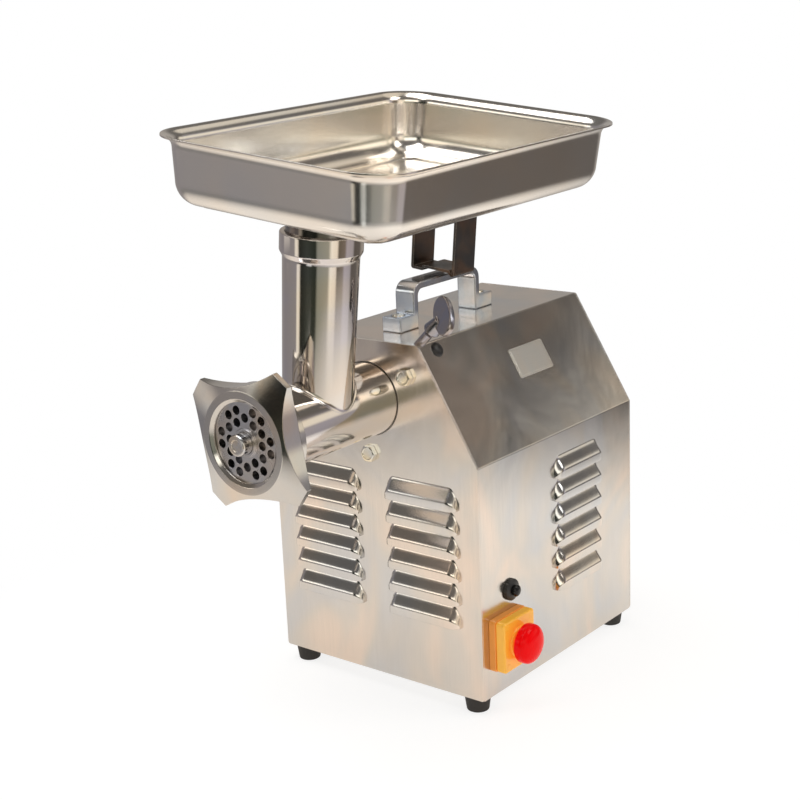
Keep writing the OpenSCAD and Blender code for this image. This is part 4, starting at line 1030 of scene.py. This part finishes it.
# Six steps cross each arm's tip, and twenty-two the hollow between two arms.
quarter = [tip_a*k/3 for k in range(-3, 4)] + [tip_a + (math.pi/2 - 2*tip_a)*k/22 for k in range(1, 22)]
rings = []
for a in (q*math.pi/2 + d for q in range(4) for d in quarter):
    edge_r = arm_r(a)
    face_drop = .3 + face_fall*(edge_r - turned_r)
    back_drop = min(11 + back_fall*(68 - edge_r), 19)
    rows = [(32.4, 2.2), (34.9, .2), (35.3, 0), (36.8, 0), (38.6, 0), (40.8, 0), (41, .03)]
    rows += [(turned_r + (edge_r - turned_r)*k, .3 + face_fall*(edge_r - turned_r)*k)
             for k in (.0, .2, .45, .7)]
    rows += [(edge_r - .15, face_drop - .02), (edge_r, face_drop + .6), (edge_r, back_drop - .4),
             (edge_r - .4, back_drop), (root_r if edge_r > 46 else edge_r - .5, 18.7),
             (43.6, 19.6) if edge_r < 46.6 else (43.5, 20), (43.5, 25.1), (43.1, 25.5), (40.1, 25.5),
             (40.1, f_nut - f_plate - .3), (32.4, f_nut - f_plate - .3)]
    rings.append([(*ringed(r, a + nut_turn), f_nut - drop) for r, drop in rows])
star = skin("nut_star", rings, LEAN @ FORWARD, closed=True)
finished(smoothed(star, 11.5), nut_steel, "nut", "nut_steel", "ring_nut")

# ---------- Clamp screw
# A steel screw points at the barrel from half way up the right side. Its
# flat, oval grip is forged from the shank and polished on both faces.
clamp_y, grip_at, grip_turn, grip_long, grip_high, squareness = -112, 107.5, math.radians(-32), 19, 11, .92
ON_CLAMP = at(0, clamp_y, axis_z) @ Matrix.Rotation(math.pi/4, 4, "Y")
ON_GRIP = (ON_CLAMP @ shift(0, 0, grip_at) @ Matrix.Rotation(grip_turn, 4, "Z")
           @ Matrix.Rotation(math.pi/2, 4, "X"))
grip_line = [tuple(half*math.copysign(abs(v)**squareness, v)
                   for half, v in zip((grip_long, grip_high), ringed(1, 2*math.pi*k/64))) for k in range(64)]
grip = joined("clamp_grip", slab("grip_a", grip_line, -2.7, 5.4, ON_GRIP, 1.5, 4, 40),
              lathe("grip_b", [(0, 31.4), (3.4, 31.4), (4, 32), (4, 84.6), (4.6, 86.2), (6.6, 88.6),
                               (7.3, 89.8), (7.0, 91.4), (5.4, 100), (4.6, 102), (0, 102.4)], ON_CLAMP, 40))
clamp_steel = steel("Polished clamp steel", (.40, .385, .40), (.46, .40, .37), (.36, .37, .44), .10,
                    (300, 300, 300), bump=.03, size=40, edge=.0012)
finished(smoothed(grip), clamp_steel, "clamp", "machined_steel", "clamp_screw")

# ---------- Feed tray
# The pan is drawn from one stainless sheet: its section, a rolled-out rim, a
# straight wall and a wide round at the bottom, follows a rectangle with round
# corners. A short neck is welded below, and plugs into the chute's collar.
tray_z, pan_depth, pan_tip, pan_twist, pan_y, pan_t = 222, 56, math.radians(1.1), math.radians(.7), 88.2, 1.2
ON_TRAY = (ON_CHUTE @ shift(0, 0, tray_z) @ Matrix.Rotation(pan_tip, 4, "X")
           @ Matrix.Rotation(pan_twist, 4, "Z"))
pan, g = geometry_tree("Drawn pan", [
    ("Width", "Float", .239), ("Length", "Float", .3318), ("Corner", "Float", .038),
    ("Depth", "Float", .056), ("Rim", "Float", .009), ("Draft", "Float", .002),
    ("Bottom Round", "Float", .020), ("Sheet", "Float", .0012), ("Hole", "Float", .026),
    ("Hole Place", "Vector", (0, 0, 0))])


def sum_of(*terms):
    """Adds sockets; a pair (factor, socket) is multiplied first."""
    total = 0.0
    for term in terms:
        if isinstance(term, tuple):
            term = maths(pan, "MULTIPLY", term[1], term[0])
        total = maths(pan, "ADD", total, term)
    return total


def point(**axes):
    """A point from numbers or sockets."""
    return put(pan, "ShaderNodeCombineXYZ", axes)


def moved(geometry, key, value):
    """Geometry with one of its translation, rotation or scale set."""
    return put(pan, "GeometryNodeTransform", {"Geometry": geometry, key: value})


def bend(resolution, radius, start, sweep):
    """A round of the section."""
    return put(pan, "GeometryNodeCurveArc", {"Resolution": resolution, "Radius": radius, "Start Angle": start,
                                             "Sweep Angle": sweep}, mode="RADIUS")


def rectangle(width, length, corner):
    """A path with round corners."""
    path = put(pan, "GeometryNodeCurvePrimitiveQuadrilateral", {"Width": width, "Height": length})
    return put(pan, "GeometryNodeFilletCurve", {"Curve": path, "Radius": corner, "Count": 28}, mode="POLY")


wall_in = sum_of(g["Rim"], g["Draft"])
floor_in = sum_of(wall_in, g["Bottom Round"])
rim_low, wall_low = sum_of((-1, g["Rim"]), (-1, g["Sheet"])), sum_of((-1, g["Depth"]), g["Bottom Round"])
rim_line = moved(bend(9, g["Rim"], math.pi/2, -math.pi/2), "Translation", point(Y=rim_low))
low_line = moved(bend(13, g["Bottom Round"], math.pi, math.pi/2), "Translation",
                 point(X=floor_in, Y=wall_low))
wall_line = put(pan, "GeometryNodeCurvePrimitiveLine", {
    "Start": point(X=g["Rim"], Y=rim_low), "End": point(X=wall_in, Y=wall_low)})
wall_line = put(pan, "GeometryNodeResampleCurve", {"Count": 5, "Curve": wall_line})
section = put(pan, "GeometryNodeJoinGeometry", {
    0: [put(pan, "GeometryNodeCurveToMesh", {"Curve": piece}) for piece in (low_line, wall_line, rim_line)]})
section = put(pan, "GeometryNodeMergeByDistance", {"Geometry": section, "Distance": 1e-5})
section = moved(put(pan, "GeometryNodeMeshToCurve", {"Mesh": section}), "Rotation", (0, 0, math.pi))
path = put(pan, "GeometryNodeSetCurveNormal", {"Curve": rectangle(g["Width"], g["Length"], g["Corner"])},
           mode="Z_UP")
sides = put(pan, "GeometryNodeCurveToMesh", {"Curve": path, "Profile Curve": section})
floor_path = rectangle(sum_of(g["Width"], (-2, floor_in)), sum_of(g["Length"], (-2, floor_in)),
                       sum_of(g["Corner"], (-1, floor_in)))
hole_path = moved(put(pan, "GeometryNodeCurvePrimitiveCircle", {"Resolution": 64, "Radius": g["Hole"]}),
                  "Translation", g["Hole Place"])
floor = put(pan, "GeometryNodeFillCurve", {"Curve": put(pan, "GeometryNodeJoinGeometry", {
    0: [floor_path, hole_path]})}, mode="TRIANGLES")
floor = moved(floor, "Translation", point(Z=sum_of((-1, g["Depth"]))))
whole = put(pan, "GeometryNodeJoinGeometry", {0: [sides, floor]})
end_tree(pan, put(pan, "GeometryNodeMergeByDistance", {"Geometry": whole, "Distance": 2e-5}), g["Finish"])

tray_steel = steel("Brushed tray steel", (.85, .815, .765), (.89, .82, .735), (.81, .80, .78), .11,
                   (700, 700, 24), bump=.04, cloudy=.05, size=7, edge=.0005, streaky=.05, shade=.05)
tray = grow(dotted("feed_pan", []), pan, width=239*MM, length=331.8*MM, corner=38*MM, depth=pan_depth*MM,
            rim=9*MM, draft=2*MM, bottom_round=20*MM, sheet=pan_t*MM, hole=26.2*MM,
            hole_place=(0, -89.27*MM, 0), finish=tray_steel)
tray = smoothed(thicken(tray, pan_t), 40)
tray.data.transform(ON_TRAY @ shift(0, pan_y, 0))
finished(tray, tray_steel, "tray", "tray_steel", "tray_pan")


def pan_under(y):
    """Height of the pan's underside, which the tip lifts from the front of the chute to the rear."""
    return tray_z - pan_depth/math.cos(pan_tip) + y*math.tan(pan_tip)


# The neck is coloured dark as painted shade: it stands in the shadow under the pan.
neck_painted_shade = steel("Dark neck steel", (.24, .225, .21), (.28, .23, .20), (.20, .20, .21), .10, (60, 60, 900),
                   bump=.06, size=30, edge=.0005)
neck_in, neck_out, neck_low = 26, 28.4, 133.8
rings = []
for a in (2*math.pi*i/96 for i in range(96)):
    rows = [(neck_in, neck_low), (neck_out - .4, neck_low), (neck_out, neck_low + .4)]
    rows += [(r, pan_under(r*math.sin(a)) + .15) for r in (neck_out, neck_in)]
    rings.append([(*ringed(r, a), z) for r, z in rows])
neck = skin("pan_neck", rings, ON_CHUTE, closed=True)
finished(smoothed(neck, 30), neck_painted_shade, "tray", "tray_steel", "tray_neck")

# ---------- Tray strap
# Two steel strips hang from the pan and join in a low hat over the carrying
# handle. It is one strip 30 mm wide, bent cold, with small round bends and a
# brown heat stain from the welding.
strap_steel = steel("Stained strap steel", (.14, .112, .094), (.19, .125, .09), (.10, .095, .094), .26,
                    (600, 600, 30), bump=.15, cloudy=.15, size=30, edge=.0005)
x0, x1, hat0, hat1, low_z, high_z = -29.1, 17.1, -16.15, 11.05, 92.25, 95.05
strap_t, strap_y = 2.4, (-30.8, -1.2)
left_x, right_x, weld_z = x0 + 1.25, x1 - 1.25, pan_under(f_chute - 17) + .1
hat = rounded([(left_x, weld_z), (left_x, low_z), (hat0, low_z), (hat0, high_z), (hat1, high_z),
               (x0 + 43.2, low_z), (right_x, low_z), (right_x, weld_z)], 1.2, 4, closed=False)
strap = shape("pan_strap", [(x, y, z) for x, z in hat for y in strap_y], grid(len(hat), 2),
              Matrix.Identity(4))
strap = thicken(strap, strap_t, offset=0, bevel=.35, angle=50)
strap.data.transform(LEAN)
strap = smoothed(strap, 40)
finished(strap, strap_steel, "tray", "strap_steel", "tray_bracket")
